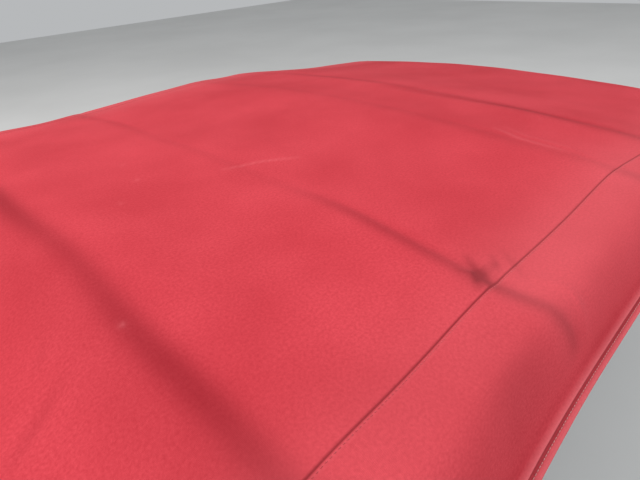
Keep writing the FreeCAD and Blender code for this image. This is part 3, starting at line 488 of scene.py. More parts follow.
def cloth_relief():
    """How far the cloth stands out from its plain form, its painted shade, and its scuffs and painted
    highlights, from 0 to 1.
    """
    x, y, _ = points.T
    outboard = SEAM - column_of
    on_top = rising(column_of, 0.075, 0.06)
    on_shoulder = rising(column_of, 0.035, 0.05)
    above_hem = rising(column_of, 0.034, 0.050)
    beyond_seam = smooth((0.190 - column_of) / 0.03)
    ahead_of_window = rising(x, -0.345, 0.10)
    left_fade = 1 - 0.6 * rising(y, 0.15, 0.25)
    relief, painted_shade, scuffs_and_highlights = np.zeros((3, len(points)))

    places = [row[1] for row in STATIONS[1:]]
    for start, end in zip(places, places[1:]):
        share = np.clip((x - start) / (end - start), 0, 1)
        sag = SAG * np.sin(math.pi * share) ** 2 * (end - start) / 0.3
        relief -= sag * on_top * (1 - LEFT_SAG_EASE * rising(y, 0.08, 0.25) * (start < 0.3))
    relief -= REAR_SAG * np.sin(math.pi * np.clip((x + 0.33) / 0.24, 0, 1)) ** 2 * on_top

    for place, height, behind, ahead, dip, middle_share, lean, roof_shade_strength, side_shade_strength in RIDGES:
        wander = 0.004 * np.sin(9 * y + 30 * place) + 0.002 * np.sin(23 * y + 11 * place)
        offset = x - place - wander - lean * smooth((0.190 - column_of) / 0.15)
        spread = np.where(offset < 0, behind, ahead)
        strength = (1 + 0.18 * np.sin(14 * y + 50 * place)) * left_fade
        strength *= middle_share + (1 - middle_share) * rising(np.abs(y), 0.16, 0.16)
        relief += height * strength * hump(offset, spread) * on_shoulder
        relief -= dip * strength * hump(offset - 1.45 * ahead, 0.5 * ahead) * on_shoulder
        # Painted shade on the slope just ahead of each bow's ridge
        shade_strength = roof_shade_strength + (side_shade_strength - roof_shade_strength) * beyond_seam
        painted_shade += shade_strength * hump(offset - 0.85 * ahead, 0.8 * ahead) * above_hem * strength

    held_by_seam = 1 - 0.85 * hump(outboard, 0.011) * is_roof
    for line, height, spread in CREASES:
        distance, share = line_distance(x, y, line)
        ends = np.sin(math.pi * np.clip(0.12 + 0.76 * share, 0, 1))
        relief += height * ends * hump(distance, spread) * held_by_seam
        # Painted shade in each valley crease, darker where it is deeper
        painted_shade += CREASE_SHADE * max(0.0, -height) * ends * hump(distance, spread * 1.2)

    relief -= SIDE_HOLLOW * hump(x - 0.085, 0.065) * hump(column_of - 0.080, 0.055)
    for height, *waves in WAVES:
        first, second = (np.sin(along * x + across * y + start) for along, across, start in waves)
        relief += height * first * second * ahead_of_window
    pleats = np.sin(150 * x + 30 * np.abs(y)) * hump(column_of - 0.075, 0.035)
    relief += PLEAT_HEIGHT * pleats * rising(x, 0.02, 0.05)
    corner = line_distance(x, np.abs(y), [(-0.110, 0.545), (-0.420, 0.600)])[0]
    corner_folds = np.sin(60 * corner + 14 * x) * hump(corner - 0.03, 0.07)
    relief += CORNER_FOLD * corner_folds * smooth((-0.1 - x) / 0.1)

    seam = 0.0004 * rising(outboard, 0.0003, 0.0014) * (1 - rising(outboard, 0.0040, 0.0120))
    relief += (seam - band(outboard, *SEAM_GROOVE)) * (column_of > 0.1)
    relief += sum(band(column_of, *row) for row in HEM_FORM) * (0.35 + 0.65 * rising(x, 0.0, 0.03))
    relief -= band(column_of, *EDGE_BELOW_HEM) * smooth((0.03 - x) / 0.03)

    # Painted shade where the cloth bunches, and pale scuffs
    for marks, lines in ((painted_shade, BUNCH_SHADES), (scuffs_and_highlights, SCUFFS)):
        for line, spread, strength in lines:
            distance, share = line_distance(x, y, line)
            marks += strength * hump(distance, spread) * np.sin(math.pi * (0.2 + 0.6 * share)) * is_roof

    # Painted shade in the seam's and hem's grooves, above the hem, in the side hollow and ahead of the rear
    # bow
    painted_shade += band(outboard, *SEAM_GROOVE_SHADE) + band(column_of, *HEM_GROOVE_SHADE)
    painted_shade += band(column_of, *HEM_SHADE) * is_roof
    painted_shade += band(column_of, *SIDE_SHADE) * rising(x, -0.05, 0.1) * (1 - 0.5 * rising(x, 0.17, 0.1))
    painted_shade += band(x, *HOLLOW_SHADE) * hump(column_of - 0.095, 0.065)
    painted_shade += band(x, *REAR_BOW_SHADE) * on_top
    # Painted highlights on the hem's ridges and on the seam's outboard edge
    scuffs_and_highlights += sum(band(column_of, *row) for row in HEM_RIDGE_HIGHLIGHTS) + band(outboard, *SEAM_EDGE_HIGHLIGHT)
    # Painted sheen along the shoulders, stronger from the middle bow forward
    painted_shoulder_sheen = 0.20 + 0.18 * rising(x, 0.13, 0.05)
    scuffs_and_highlights += painted_shoulder_sheen * hump(column_of - 0.150, 0.070) * is_roof * ahead_of_window
    return relief, np.clip(painted_shade, 0, 1), np.clip(scuffs_and_highlights, 0, 1)


relief, painted_shade_places, scuff_and_highlight_places = cloth_relief()
points = points + normals * relief[:, None]
normals = cloth_normals(points)

# Shader nodes and shared groups
BEVEL_SAMPLES = 4
ROUND_EDGES = 0.0010


def feed(tree, socket, value):
    """Links a socket into this one, or sets its value; a colour is given by its three tones."""
    if isinstance(value, bpy.types.NodeSocket):
        tree.links.new(value, socket)
    else:
        socket.default_value = (*value, 1.0) if socket.type == "RGBA" else value


def wire(tree, node, **values):
    """Feeds a node's inputs by name, with _ for a space."""
    for name, value in values.items():
        feed(tree, node.inputs[name.replace("_", " ")], value)
    return node.outputs


def add(tree, kind, inputs=None, **settings):
    """The outputs of a new node with its settings and inputs."""
    node = tree.nodes.new(kind)
    for name, value in settings.items():
        setattr(node, name, value)
    for name, value in (inputs or {}).items():
        feed(tree, node.inputs[name], value)
    return node.outputs


def maths(tree, operation, first, second=0.0, third=0.0, clamp=False):
    inputs = {0: first, 1: second, 2: third}
    return add(tree, "ShaderNodeMath", inputs, operation=operation, use_clamp=clamp)[0]


def times(tree, first, second, clamp=False):
    return maths(tree, "MULTIPLY", first, second, clamp=clamp)


def ranged(tree, value, start, end, low=0.0, high=1.0):
    """Takes start to low and end to high."""
    return add(tree, "ShaderNodeMapRange", {0: value, 1: start, 2: end, 3: low, 4: high})[0]


def noise(tree, place, scale, detail, roughness=0.5):
    inputs = {"Vector": place, "Scale": scale, "Detail": detail, "Roughness": roughness}
    return add(tree, "ShaderNodeTexNoise", inputs)[0]


def mix_colours(tree, factor, first, second):
    return add(tree, "ShaderNodeMix", {0: factor, 6: first, 7: second}, data_type="RGBA")[2]


def bumped(tree, height, strength, distance, **normal):
    inputs = {"Strength": strength, "Distance": distance, "Height": height, **normal}
    return add(tree, "ShaderNodeBump", inputs)[0]


def object_place(tree):
    return add(tree, "ShaderNodeTexCoord")["Object"]


def cloth_place(tree):
    return add(tree, "ShaderNodeUVMap", uv_map="cloth")[0]


def node_group(name, inputs, outputs):
    """A group with number outputs; its inputs are numbers with a first value, or vectors for None."""
    group = bpy.data.node_groups.new(name, "ShaderNodeTree")
    for socket_name, value in inputs.items():
        kind = "NodeSocketVector" if value is None else "NodeSocketFloat"
        socket = group.interface.new_socket(socket_name, in_out="INPUT", socket_type=kind)
        if value is not None:
            socket.default_value = value
    for socket_name in outputs:
        group.interface.new_socket(socket_name, in_out="OUTPUT", socket_type="NodeSocketFloat")
    return group, group.nodes.new("NodeGroupInput").outputs, group.nodes.new("NodeGroupOutput")


def use_group(tree, group, **inputs):
    node = tree.nodes.new("ShaderNodeGroup")
    node.node_tree = group
    return wire(tree, node, **inputs)


def canvas_weave_group():
    """Plain weave of thick yarn: its height, and a mask of the valleys between the yarns."""
    group, given, result = node_group(
        "canvas weave", {"Vector": None, "Yarns per metre": 1400.0, "Unevenness": 0.3}, ["Height", "Valleys"],
    )
    wobble = noise(group, given["Vector"], 160.0, 2.0)
    parts = add(group, "ShaderNodeSeparateXYZ", {0: given["Vector"]})
    bend = times(group, wobble, given["Unevenness"])
    waves = []
    for axis in (0, 1):
        turns = times(group, parts[axis], given["Yarns per metre"])
        angle = maths(group, "MULTIPLY_ADD", turns, math.pi, times(group, bend, 6.0))
        waves.append(maths(group, "SINE", angle))
    warp, weft = (maths(group, "ABSOLUTE", wave) for wave in waves)
    warp_on_top = maths(group, "MULTIPLY_ADD", times(group, *waves), 0.5, 0.5)
    weft_on_top = maths(group, "SUBTRACT", 1.0, warp_on_top)
    height = maths(group, "ADD", times(group, warp, warp_on_top), times(group, weft, weft_on_top))
    wire(group, result, Height=height, Valleys=maths(group, "SUBTRACT", 1.0, height, clamp=True))
    return group


def nap_group():
    """Mottle of a napped, sun-faded cloth: fine grain, soft patches and their height."""
    group, given, result = node_group(
        "cloth nap", {"Vector": None, "Grain scale": 420.0, "Patch scale": 7.0, "Grain": 0.5},
        ["Grain", "Patches", "Height"],
    )
    fine = noise(group, given["Vector"], given["Grain scale"], 3.0, 0.7)
    coarse = noise(group, given["Vector"], given["Patch scale"], 4.0, 0.55)
    grain = times(group, ranged(group, fine, 0.30, 0.70), given["Grain"])
    wire(group, result, Grain=grain, Patches=ranged(group, coarse, 0.35, 0.65), Height=fine)
    return group


def edge_wear_group():
    """Mask of worn corners and edges, broken up by noise."""
    group, given, result = node_group(
        "edge wear", {"Reach": 0.0012, "Amount": 0.5, "Breakup scale": 180.0}, ["Mask"],
    )
    rounded_normal = add(group, "ShaderNodeBevel", {"Radius": given["Reach"]}, samples=BEVEL_SAMPLES)[0]
    flat_normal = add(group, "ShaderNodeNewGeometry")["Normal"]
    facing = add(group, "ShaderNodeVectorMath", {0: rounded_normal, 1: flat_normal}, operation="DOT_PRODUCT")
    on_edge = ranged(group, facing["Value"], 0.995, 0.86)
    breakup = noise(group, object_place(group), given["Breakup scale"], 4.0)
    worn = times(group, on_edge, ranged(group, breakup, 0.42, 0.62))
    wire(group, result, Mask=times(group, worn, given["Amount"], clamp=True))
    return group


def dust_group():
    """Dust that settles on faces that look up, thicker in patches."""
    group, given, result = node_group("settled dust", {"Amount": 0.3, "Scale": 30.0}, ["Mask"])
    normal = add(group, "ShaderNodeNewGeometry")["Normal"]
    up = ranged(group, add(group, "ShaderNodeSeparateXYZ", {0: normal})["Z"], 0.1, 0.95)
    patches = noise(group, object_place(group), given["Scale"], 5.0)
    settled = times(group, up, ranged(group, patches, 0.35, 0.75, 0.2, 1.0))
    wire(group, result, Mask=times(group, settled, given["Amount"], clamp=True))
    return group


canvas_weave = canvas_weave_group()
cloth_nap = nap_group()
edge_wear = edge_wear_group()
settled_dust = dust_group()

# Materials


def new_material(name, **shader_values):
    material = bpy.data.materials.new(name)
    material.use_nodes = True
    tree = material.node_tree
    shader = tree.nodes["Principled BSDF"]
    wire(tree, shader, **shader_values)
    return material, tree, shader


def outer_cloth_material():
    material, tree, shader = new_material(
        "red_canvas", Sheen_Weight=0.04, Sheen_Roughness=0.35, Sheen_Tint=(1.0, 0.62, 0.62),
        Specular_IOR_Level=0.05,
    )
    cloth = cloth_place(tree)
    weave = use_group(tree, canvas_weave, Vector=cloth, Yarns_per_metre=1250.0, Unevenness=0.35)
    nap = use_group(tree, cloth_nap, Vector=cloth, Grain_scale=330.0, Patch_scale=6.0, Grain=1.0)
    # Painted shade, and scuffs with painted highlights, from the cloth's point attributes
    painted_shade = add(tree, "ShaderNodeAttribute", attribute_name="painted_shade_places")["Fac"]
    rubbed = add(tree, "ShaderNodeAttribute", attribute_name="scuff_and_highlight_places")["Fac"]
    tone = mix_colours(tree, nap["Patches"], (0.530, 0.046, 0.061), (0.625, 0.063, 0.082))
    for mask, amount, over in (
        (nap["Grain"], 0.50, (0.36, 0.020, 0.030)),
        # The weave's valleys are painted darker as shade between the yarns
        (weave["Valleys"], 0.22, (0.30, 0.016, 0.024)),
        # Painted shade
        (painted_shade, 0.96, (0.20, 0.008, 0.014)),
        # Pale scuffs and painted highlights
        (rubbed, 0.45, (0.80, 0.22, 0.24)),
    ):
        tone = mix_colours(tree, times(tree, mask, amount), tone, over)
    height = maths(tree, "MULTIPLY_ADD", nap["Height"], 1.6, weave["Height"])
    wire(tree, shader, Base_Color=tone, Roughness=ranged(tree, nap["Grain"], 0, 1, 0.78, 0.92),
         Normal=bumped(tree, height, 0.42, 0.00045))
    return material


def lining_material():
    material, tree, shader = new_material("black_lining", Sheen_Weight=0.2, Sheen_Roughness=0.5,
                                          Specular_IOR_Level=0.2)
    cloth = cloth_place(tree)
    weave = use_group(tree, canvas_weave, Vector=cloth, Yarns_per_metre=700.0, Unevenness=0.15)
    nap = use_group(tree, cloth_nap, Vector=cloth, Grain_scale=260.0, Patch_scale=9.0, Grain=0.7)
    base = mix_colours(tree, nap["Patches"], (0.014, 0.014, 0.016), (0.026, 0.025, 0.027))
    # The weave's valleys are painted darker as shade between the yarns
    tone = mix_colours(tree, times(tree, weave["Valleys"], 0.6), base, (0.006, 0.006, 0.007))
    wire(tree, shader, Base_Color=tone, Roughness=ranged(tree, nap["Grain"], 0, 1, 0.82, 0.95),
         Normal=bumped(tree, weave["Height"], 0.5, 0.0006))
    return material


def object_nap(tree, grain_scale, patch_scale):
    return use_group(tree, cloth_nap, Vector=object_place(tree), Grain_scale=grain_scale,
                     Patch_scale=patch_scale, Grain=1.0)


def thread_material(name, low, high):
    material, tree, shader = new_material(name, Sheen_Weight=0.3, Specular_IOR_Level=0.3)
    nap = object_nap(tree, 900.0, 60.0)
    wire(tree, shader, Base_Color=mix_colours(tree, nap["Grain"], low, high),
         Roughness=ranged(tree, nap["Patches"], 0, 1, 0.6, 0.8),
         Normal=bumped(tree, nap["Height"], 0.5, 0.0003))
    return material


def hard_material(name, low, high, worn_tone, metallic, roughness, wear, dust, grain, grain_depth):
    """Painted, plated, moulded and rubber parts: two tones, worn edges, dust and fine grain."""
    material, tree, shader = new_material(name)
    nap = object_nap(tree, grain, 14.0)
    worn = use_group(tree, edge_wear, Reach=0.0014, Amount=wear, Breakup_scale=150.0)["Mask"]
    dusty = use_group(tree, settled_dust, Amount=dust, Scale=26.0)["Mask"]
    base = mix_colours(tree, nap["Patches"], low, high)
    edged = mix_colours(tree, worn, base, worn_tone)
    spread = ranged(tree, nap["Patches"], 0, 1, roughness - 0.06, roughness + 0.08)
    corners = add(tree, "ShaderNodeBevel", {"Radius": ROUND_EDGES}, samples=BEVEL_SAMPLES)[0]
    wire(tree, shader, Base_Color=mix_colours(tree, dusty, edged, (0.30, 0.28, 0.25)),
         Roughness=maths(tree, "MULTIPLY_ADD", dusty, 0.35, spread, clamp=True),
         Metallic=metallic if metallic > 0 else times(tree, worn, 0.8),
         Normal=bumped(tree, nap["Height"], 0.35, grain_depth, Normal=corners))
    return material


def window_material():
    material, tree, shader = new_material("clear_window", Transmission_Weight=0.94, IOR=1.46)
    nap = use_group(tree, cloth_nap, Vector=cloth_place(tree), Grain_scale=120.0, Patch_scale=8.0, Grain=1.0)
    tone = mix_colours(tree, nap["Patches"], (0.80, 0.82, 0.80), (0.70, 0.72, 0.70))
    wire(tree, shader, Base_Color=tone, Roughness=ranged(tree, nap["Patches"], 0, 1, 0.05, 0.14),
         Normal=bumped(tree, nap["Patches"], 0.25, 0.0012))
    return material


# Hard finishes by the CAD's material: name, darker, lighter and worn tone, then metallic, roughness, wear,
# dust, grain per metre and grain depth
HARD_FINISHES = {
    "frame_paint": ("satin_black_paint", (0.010, 0.010, 0.011), (0.016, 0.016, 0.017), (0.30, 0.29, 0.28),
                    0.0, 0.40, 0.55, 0.25, 300.0, 0.00008),
    "header_panel": ("moulded_header", (0.014, 0.014, 0.015), (0.022, 0.022, 0.023), (0.06, 0.06, 0.06),
                     0.0, 0.55, 0.25, 0.25, 700.0, 0.00020),
    "rail_alloy": ("drawn_alloy", (0.52, 0.53, 0.54), (0.62, 0.63, 0.64), (0.80, 0.80, 0.80),
                   1.0, 0.36, 0.50, 0.20, 500.0, 0.00008),
    "plated_steel": ("zinc_plate", (0.50, 0.49, 0.45), (0.62, 0.61, 0.58), (0.75, 0.74, 0.72),
                     1.0, 0.30, 0.40, 0.15, 400.0, 0.00008),
    "seal_rubber": ("seal_rubber", (0.012, 0.012, 0.012), (0.020, 0.020, 0.020), (0.05, 0.05, 0.05),
                    0.0, 0.70, 0.15, 0.35, 350.0, 0.00015),
    "handle_plastic": ("handle_plastic", (0.020, 0.020, 0.021), (0.030, 0.030, 0.031), (0.09, 0.09, 0.09),
                       0.0, 0.48, 0.25, 0.15, 900.0, 0.00018),
}
red_canvas = outer_cloth_material()
black_lining = lining_material()
red_thread = thread_material("red_thread", (0.42, 0.028, 0.040), (0.60, 0.052, 0.068))
pale_thread = thread_material("faded_thread", (0.50, 0.20, 0.20), (0.70, 0.42, 0.40))
clear_window = window_material()
cad_finish = {slot: hard_material(*row) for slot, row in HARD_FINISHES.items()}
cad_finish["cover_cloth"] = red_canvas
cad_finish["clear_vinyl"] = clear_window
for node in nodes.values():
    for material_slot in node.material_slots:
        material_slot.material = cad_finish[material_slot.material.name.split(".")[0]]


# Pieces of the cloth


def new_piece(name, places, faces, materials, face_materials=None, uv=None, loop_normals=None,
              smooth_faces=True):
    mesh = bpy.data.meshes.new(name)
    if isinstance(faces, np.ndarray):
        faces = faces.tolist()
    mesh.from_pydata(np.asarray(places, float).tolist(), [], faces)
    for material in materials:
        mesh.materials.append(material)
    if face_materials is not None:
        mesh.polygons.foreach_set("material_index", np.asarray(face_materials, np.int32))
    mesh.polygons.foreach_set("use_smooth", np.full(len(mesh.polygons), smooth_faces))
    if uv is not None:
        layer = mesh.uv_layers.new(name="cloth")
        corners = np.zeros(len(mesh.loops), np.int32)
        mesh.loops.foreach_get("vertex_index", corners)
        layer.data.foreach_set("uv", np.asarray(uv, float)[corners].reshape(-1))
    if loop_normals is not None:
        mesh.normals_split_custom_set(loop_normals.tolist())
    mesh.update()
    piece = bpy.data.objects.new(name, mesh)
    scene.collection.objects.link(piece)
    return piece


# Stretches of roof where the cloth and what is sewn to it go over from one body of the frame to the other:
# the two bodies, and from where to where. Here only the names are read: pieces of these stretches stay
# unattached.
BLENDS = {
    "rear": ("root", "main_pillars", (0, 0, 0.030), (0, 0, 0.222)),
    "rear_top": ("main_pillars", "centre_section", (0.030, 0, 0), (PLACE["middle_bow"], 0, 0)),
    "middle": ("centre_section", "front_section", (0.400, 0, 0), (PLACE["crease_bow"], 0, 0)),
}


def fasten(piece, stretch):
    if stretch in BLENDS:
        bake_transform(piece)
    else:
        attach(piece, "front_section")
        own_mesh(piece)
    return piece


def tube_faces(rings, around, closed=False, capped=True, first=0):
    """Faces of a tube from rings of points, joined to itself or with its ends closed."""
    faces = []
    for ring in range(rings if closed else rings - 1):
        here, there = (first + (ring + step) % rings * around for step in (0, 1))
        for i in range(around):
            j = (i + 1) % around
            faces.append((here + i, here + j, there + j, there + i))
    if capped and not closed:
        last = first + (rings - 1) * around
        faces.append(tuple(range(first, first + around))[::-1])
        faces.append(tuple(range(last, last + around)))
    return faces


def rim_faces(local, count):
    """Faces between the outer and the inner layer along the edges that only one cell uses."""
    pairs = cell_edges(local)
    keys = np.sort(pairs, axis=1)
    _, first, uses = np.unique(keys[:, 0] * count + keys[:, 1], return_index=True, return_counts=True)
    bound = pairs[first[uses == 1]]
    return np.stack([bound[:, 1], bound[:, 0], bound[:, 0] + count, bound[:, 1] + count], axis=1)


def two_layers(faces, depths):
    """Cells of the joined sheet as two layers with a rim between them, at two depths along its normals."""
    used, local = np.unique(faces, return_inverse=True)
    local = local.reshape(faces.shape)
    rim = rim_faces(local, len(used))
    places = np.concatenate([points[used] + normals[used] * depth for depth in depths])
    every_face = np.concatenate([local, local[:, ::-1] + len(used), rim])
    flat = np.stack([cloth_u[used], cloth_v[used]], axis=1)
    return used, local, rim, places, every_face, np.concatenate([flat, flat])


def add_attribute(piece, name, values):
    attribute = piece.data.attributes.new(name, "FLOAT", "POINT")
    attribute.data.foreach_set("value", np.asarray(values, np.float32))


def cloth_piece(name, faces):
    """Outer cloth, lining and the cut edges between them, from the joined sheet."""
    used, local, rim, places, every_face, flat = two_layers(faces, (0.0, -CLOTH))
    loop_normals = np.concatenate([
        normals[used][local].reshape(-1, 3),
        -normals[used][local[:, ::-1]].reshape(-1, 3),
        np.repeat(unit(face_normals(places, rim)), 4, axis=0),
    ])
    kinds = np.concatenate([np.zeros(len(local)), np.ones(len(local)), np.zeros(len(rim))])
    piece = new_piece(name, places, every_face, [red_canvas, black_lining], kinds, flat, loop_normals)
    # Painted shade, and scuffs with painted highlights, for each point of both layers
    for attribute_name, values in (("painted_shade_places", painted_shade_places), ("scuff_and_highlight_places", scuff_and_highlight_places)):
        add_attribute(piece, attribute_name, np.tile(values[used], 2))
    return piece


def window_reach(x, y):
    """Below 0 inside the clear window's outline in plan, in metres."""
    share = np.clip((x - WINDOW_HIGH[0]) / (WINDOW_LOW[0] - WINDOW_HIGH[0]), 0, 1)
    half = WINDOW_HIGH[1] + (WINDOW_LOW[1] - WINDOW_HIGH[1]) * share
    middle_x = (WINDOW_HIGH[0] + WINDOW_LOW[0]) / 2
    reach_x = np.abs(x - middle_x) - (WINDOW_HIGH[0] - WINDOW_LOW[0]) / 2 + WINDOW_CORNER
    reach_y = np.abs(y) - half + WINDOW_CORNER
    outside = np.hypot(np.maximum(reach_x, 0), np.maximum(reach_y, 0))
    return outside + np.minimum(np.maximum(reach_x, reach_y), 0) - WINDOW_CORNER


rear_row = row_at(PLACE["rear_bow"])
middle_row = row_at(PLACE["middle_bow"])
crease_row = row_at(PLACE["crease_bow"])
rear_cells = np.concatenate([between_rows(0, rear_row), panel_cells])
cell_middles = points[rear_cells].mean(axis=1)
in_window = window_reach(cell_middles[:, 0], cell_middles[:, 1]) < OPENING_REACH
in_window &= cell_middles[:, 0] < AHEAD_OF_OPENING
rear_cells = rear_cells[~in_window]

# Each piece: name, stretch, cells, the solids that it stands for and those that it rests on, flat width and
# length, flat area
CLOTH_PIECES = [
    ("rear_cloth", "rear", rear_cells, ["rear_cover", "quarter_left", "quarter_right"],
     ["rear_bow", "tack_rail"], (2.05, 0.80), 0.80),
    ("rear_top_cloth", "rear_top", between_rows(rear_row, middle_row), ["rear_top_cover"],
     ["rear_bow", "middle_bow"], (1.36, 0.26), 0.35),
    ("middle_cloth", "middle", between_rows(middle_row, crease_row), ["middle_cover"],
     ["middle_bow", "crease_bow"], (1.33, 0.306), 0.405),
    ("front_cloth", "front", between_rows(crease_row, len(grid_ids) - 1), ["front_cover"],
     ["crease_bow", "front_bow", "header"], (1.33, 0.62), 0.80),
]
sewn_to = {}
for name, stretch, faces, stands_for, rests_on, flat, area in CLOTH_PIECES:
    piece = cloth_piece(name, faces)
    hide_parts(*stands_for)
    fasten(piece, stretch)
    sewn_to[stretch] = []


# Where a trim lies on the cloth


def roof_line(column, side, first_row, last_row, lift=0.0):
    """Places and normals along the roof at one distance from the hem."""
    place = np.interp(column, half_columns, np.arange(len(half_columns)))
    if side > 0:
        place = len(COLUMNS) - 1 - place
    first = min(int(place), len(COLUMNS) - 2)
    ids = grid_ids[first_row:last_row + 1, first:first + 2]
    weights = np.array([1 - place + first, place - first])[:, None]
    outward = unit((normals[ids] * weights).sum(axis=1))
    return (points[ids] * weights).sum(axis=1) + outward * lift, outward


window_zone = np.unique(grid_ids[:FIRST_ROOF + 12])


def on_rear(x, y):
    """Place and normal on the cloth round the window, from a place in plan."""
    near = np.hypot(points[window_zone, 0] - x, points[window_zone, 1] - y)
    order = np.argsort(near)[:6]
    nearest = window_zone[order]
    weight = 1 / (near[order] + 1e-4) ** 2
    weight /= weight.sum()
    slope = normals[nearest]
    offset = np.array([x, y]) - points[nearest, :2]
    heights = points[nearest, 2] - (slope[:, :2] * offset).sum(axis=1) / slope[:, 2]
    return np.array([x, y, (heights * weight).sum()]), unit((slope * weight[:, None]).sum(axis=0))


def strip(name, places, outward, profile, material, stretch, closed=False, rubbed=0.0):
    """Sweeps a profile of (across, out) points along a line of places."""
    if closed:
        ahead = unit(np.roll(places, -1, axis=0) - np.roll(places, 1, axis=0))
    else:
        ahead = unit(np.gradient(places, axis=0))
    out = unit(outward - np.sum(outward * ahead, axis=1, keepdims=True) * ahead)
    across = np.cross(out, ahead)
    rings = np.array([places + across * a + out * o for a, o in profile]).transpose(1, 0, 2)
    faces = tube_faces(len(places), len(profile), closed)
    lengths = np.meshgrid(run_along(places), run_along(np.array(profile)), indexing="ij")
    flat = np.stack(lengths, axis=-1).reshape(-1, 2)
    piece = new_piece(name, rings.reshape(-1, 3), faces, [material], uv=flat)
    # A pale band of painted highlight along the strip, as strong as given
    if rubbed:
        add_attribute(piece, "scuff_and_highlight_places", np.full(len(piece.data.vertices), rubbed))
    sewn_to[stretch].append(piece)
    return fasten(piece, stretch)


def round_profile(radius, sides=10, flatten=1.0, out=0.0):
    return [(radius * math.cos(turn), out + radius * flatten * math.sin(turn)) for turn in turns_round(sides)]


STITCH_LONG = 0.0032
STITCH_PITCH = 0.0043
STITCH_RADIUS = 0.00028
STITCH_SIDES = 5
STITCH_WANDER = 0.05
# Rings of one stitch: place along it, thickness, rise
STITCH_FORM = [(-0.5, 0.25, -0.0004), (-0.28, 0.95, 0.00025), (0.0, 1.1, 0.0004), (0.28, 0.95, 0.00025),
               (0.5, 0.25, -0.0004)]


def at_length(line, lengths, at):
    return np.array([np.interp(at, lengths, line[:, k]) for k in range(3)])


def stitches(name, lines, material, stretch):
    """Short threads along lines of (places, normals): each rises from its hole and dives into the next."""
    places, faces = [], []
    turns = turns_round(STITCH_SIDES)
    for line_places, line_normals in lines:
        lengths = run_along(line_places)
        for i in range(int(lengths[-1] / STITCH_PITCH)):
            at = (i + 0.5) * STITCH_PITCH
            centre = at_length(line_places, lengths, at)
            ahead = unit(at_length(line_places, lengths, at + 0.001) - centre)
            out = at_length(line_normals, lengths, at)
            out = unit(out - ahead * (out @ ahead))
            across = np.cross(out, ahead)
            run = ahead + across * STITCH_WANDER * math.sin(i * 2.4)
            faces += tube_faces(len(STITCH_FORM), STITCH_SIDES, capped=False, first=len(places))
            for share, thick, rise in STITCH_FORM:
                middle = centre + run * share * STITCH_LONG + out * rise
                for turn in turns:
                    ring = across * math.cos(turn) + out * math.sin(turn)
                    places.append(middle + ring * STITCH_RADIUS * thick)
    piece = new_piece(name, np.array(places), faces, [material])
    sewn_to[stretch].append(piece)
    return fasten(piece, stretch)


SEAM_END_ROW = FIRST_ROOF - 14
TRIM_ROWS = (SEAM_END_ROW, rear_row, middle_row, crease_row, LAST_ROOF)
quarter_row = row_at(QUARTER_TOP)
for stretch, first_row, last_row in zip(sewn_to, TRIM_ROWS, TRIM_ROWS[1:]):
    seam_lines = [roof_line(SEAM - 0.0026, side, first_row, last_row) for side in (-1, 1)]
    stitches(f"seam_stitches_{stretch}", seam_lines, red_thread, stretch)
    if stretch == "rear":
        continue
    hem_first = max(first_row, quarter_row)
    for side_name, side in LEFT_AND_RIGHT:
        # The hem's bead carries a painted highlight along its edge
        bead, bead_normals = roof_line(0.0012, side, hem_first, last_row)
        strip(f"hem_bead_{stretch}_{side_name}", bead, bead_normals, round_profile(0.0030, 12, 0.85, -0.0012),
              red_canvas, stretch, rubbed=0.75)
    hem_lines = [roof_line(0.0062, side, hem_first, last_row, 0.0002) for side in (-1, 1)]
    stitches(f"hem_stitches_{stretch}", hem_lines, pale_thread, stretch)

# Clear rear window, its sewn binding and their stitches
STITCH_LIFT = 0.0016
PANE_UNDER_BINDING = 0.009
PANE_LAYERS = (-0.0010, -0.0020)
BINDING_REACH = 0.0020
OUTLINE_POINTS = 300
BINDING_PROFILE = [(-0.0112, -0.0008), (-0.0112, 0.0005), (-0.0102, 0.0013), (-0.0080, 0.0016), (0.0, 0.0017),
                   (0.0080, 0.0016), (0.0102, 0.0013), (0.0112, 0.0005), (0.0112, -0.0008)]


def window_pane():
    every_cell = between_rows(0, rear_row)
    x, y, _ = points[every_cell].mean(axis=1).T
    inside = (window_reach(x, y) < PANE_UNDER_BINDING) & (x < AHEAD_OF_OPENING)
    *_, places, every_face, flat = two_layers(every_cell[inside], PANE_LAYERS)
    piece = new_piece("window_pane", places, every_face, [clear_window], uv=flat)
    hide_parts("rear_window")
    return fasten(piece, "rear")


def window_outline(reach, count):
    """Places and normals on the cloth round the window, at a distance outside its outline."""
    middle = (WINDOW_HIGH[0] + WINDOW_LOW[0]) / 2
    ring = []
    for turn in np.linspace(0, 2 * math.pi, 720, endpoint=False):
        near, far = 0.02, 0.60
        for _ in range(30):
            trial = (near + far) / 2
            inside = window_reach(middle + trial * math.cos(turn), trial * math.sin(turn)) < reach
            near, far = (trial, far) if inside else (near, trial)
        ring.append((middle + near * math.cos(turn), near * math.sin(turn)))
    ring = closed_ring(np.array(ring))
    lengths = run_along(ring)
    spots = np.linspace(0, lengths[-1], count, endpoint=False)
    line = [on_rear(*(np.interp(spot, lengths, ring[:, k]) for k in (0, 1))) for spot in spots]
    return [np.array(values) for values in zip(*line)]


window_pane()
binding_line = window_outline(BINDING_REACH, OUTLINE_POINTS)
strip("window_binding", *binding_line, BINDING_PROFILE, red_canvas, "rear", closed=True)
for name, reach in (("inner", -0.0058), ("outer", 0.0098)):
    places, outward = window_outline(reach, OUTLINE_POINTS)
    lifted = places + STITCH_LIFT * outward
    stitches(f"window_stitches_{name}", [(closed_ring(lifted), closed_ring(outward))], red_thread, "rear")

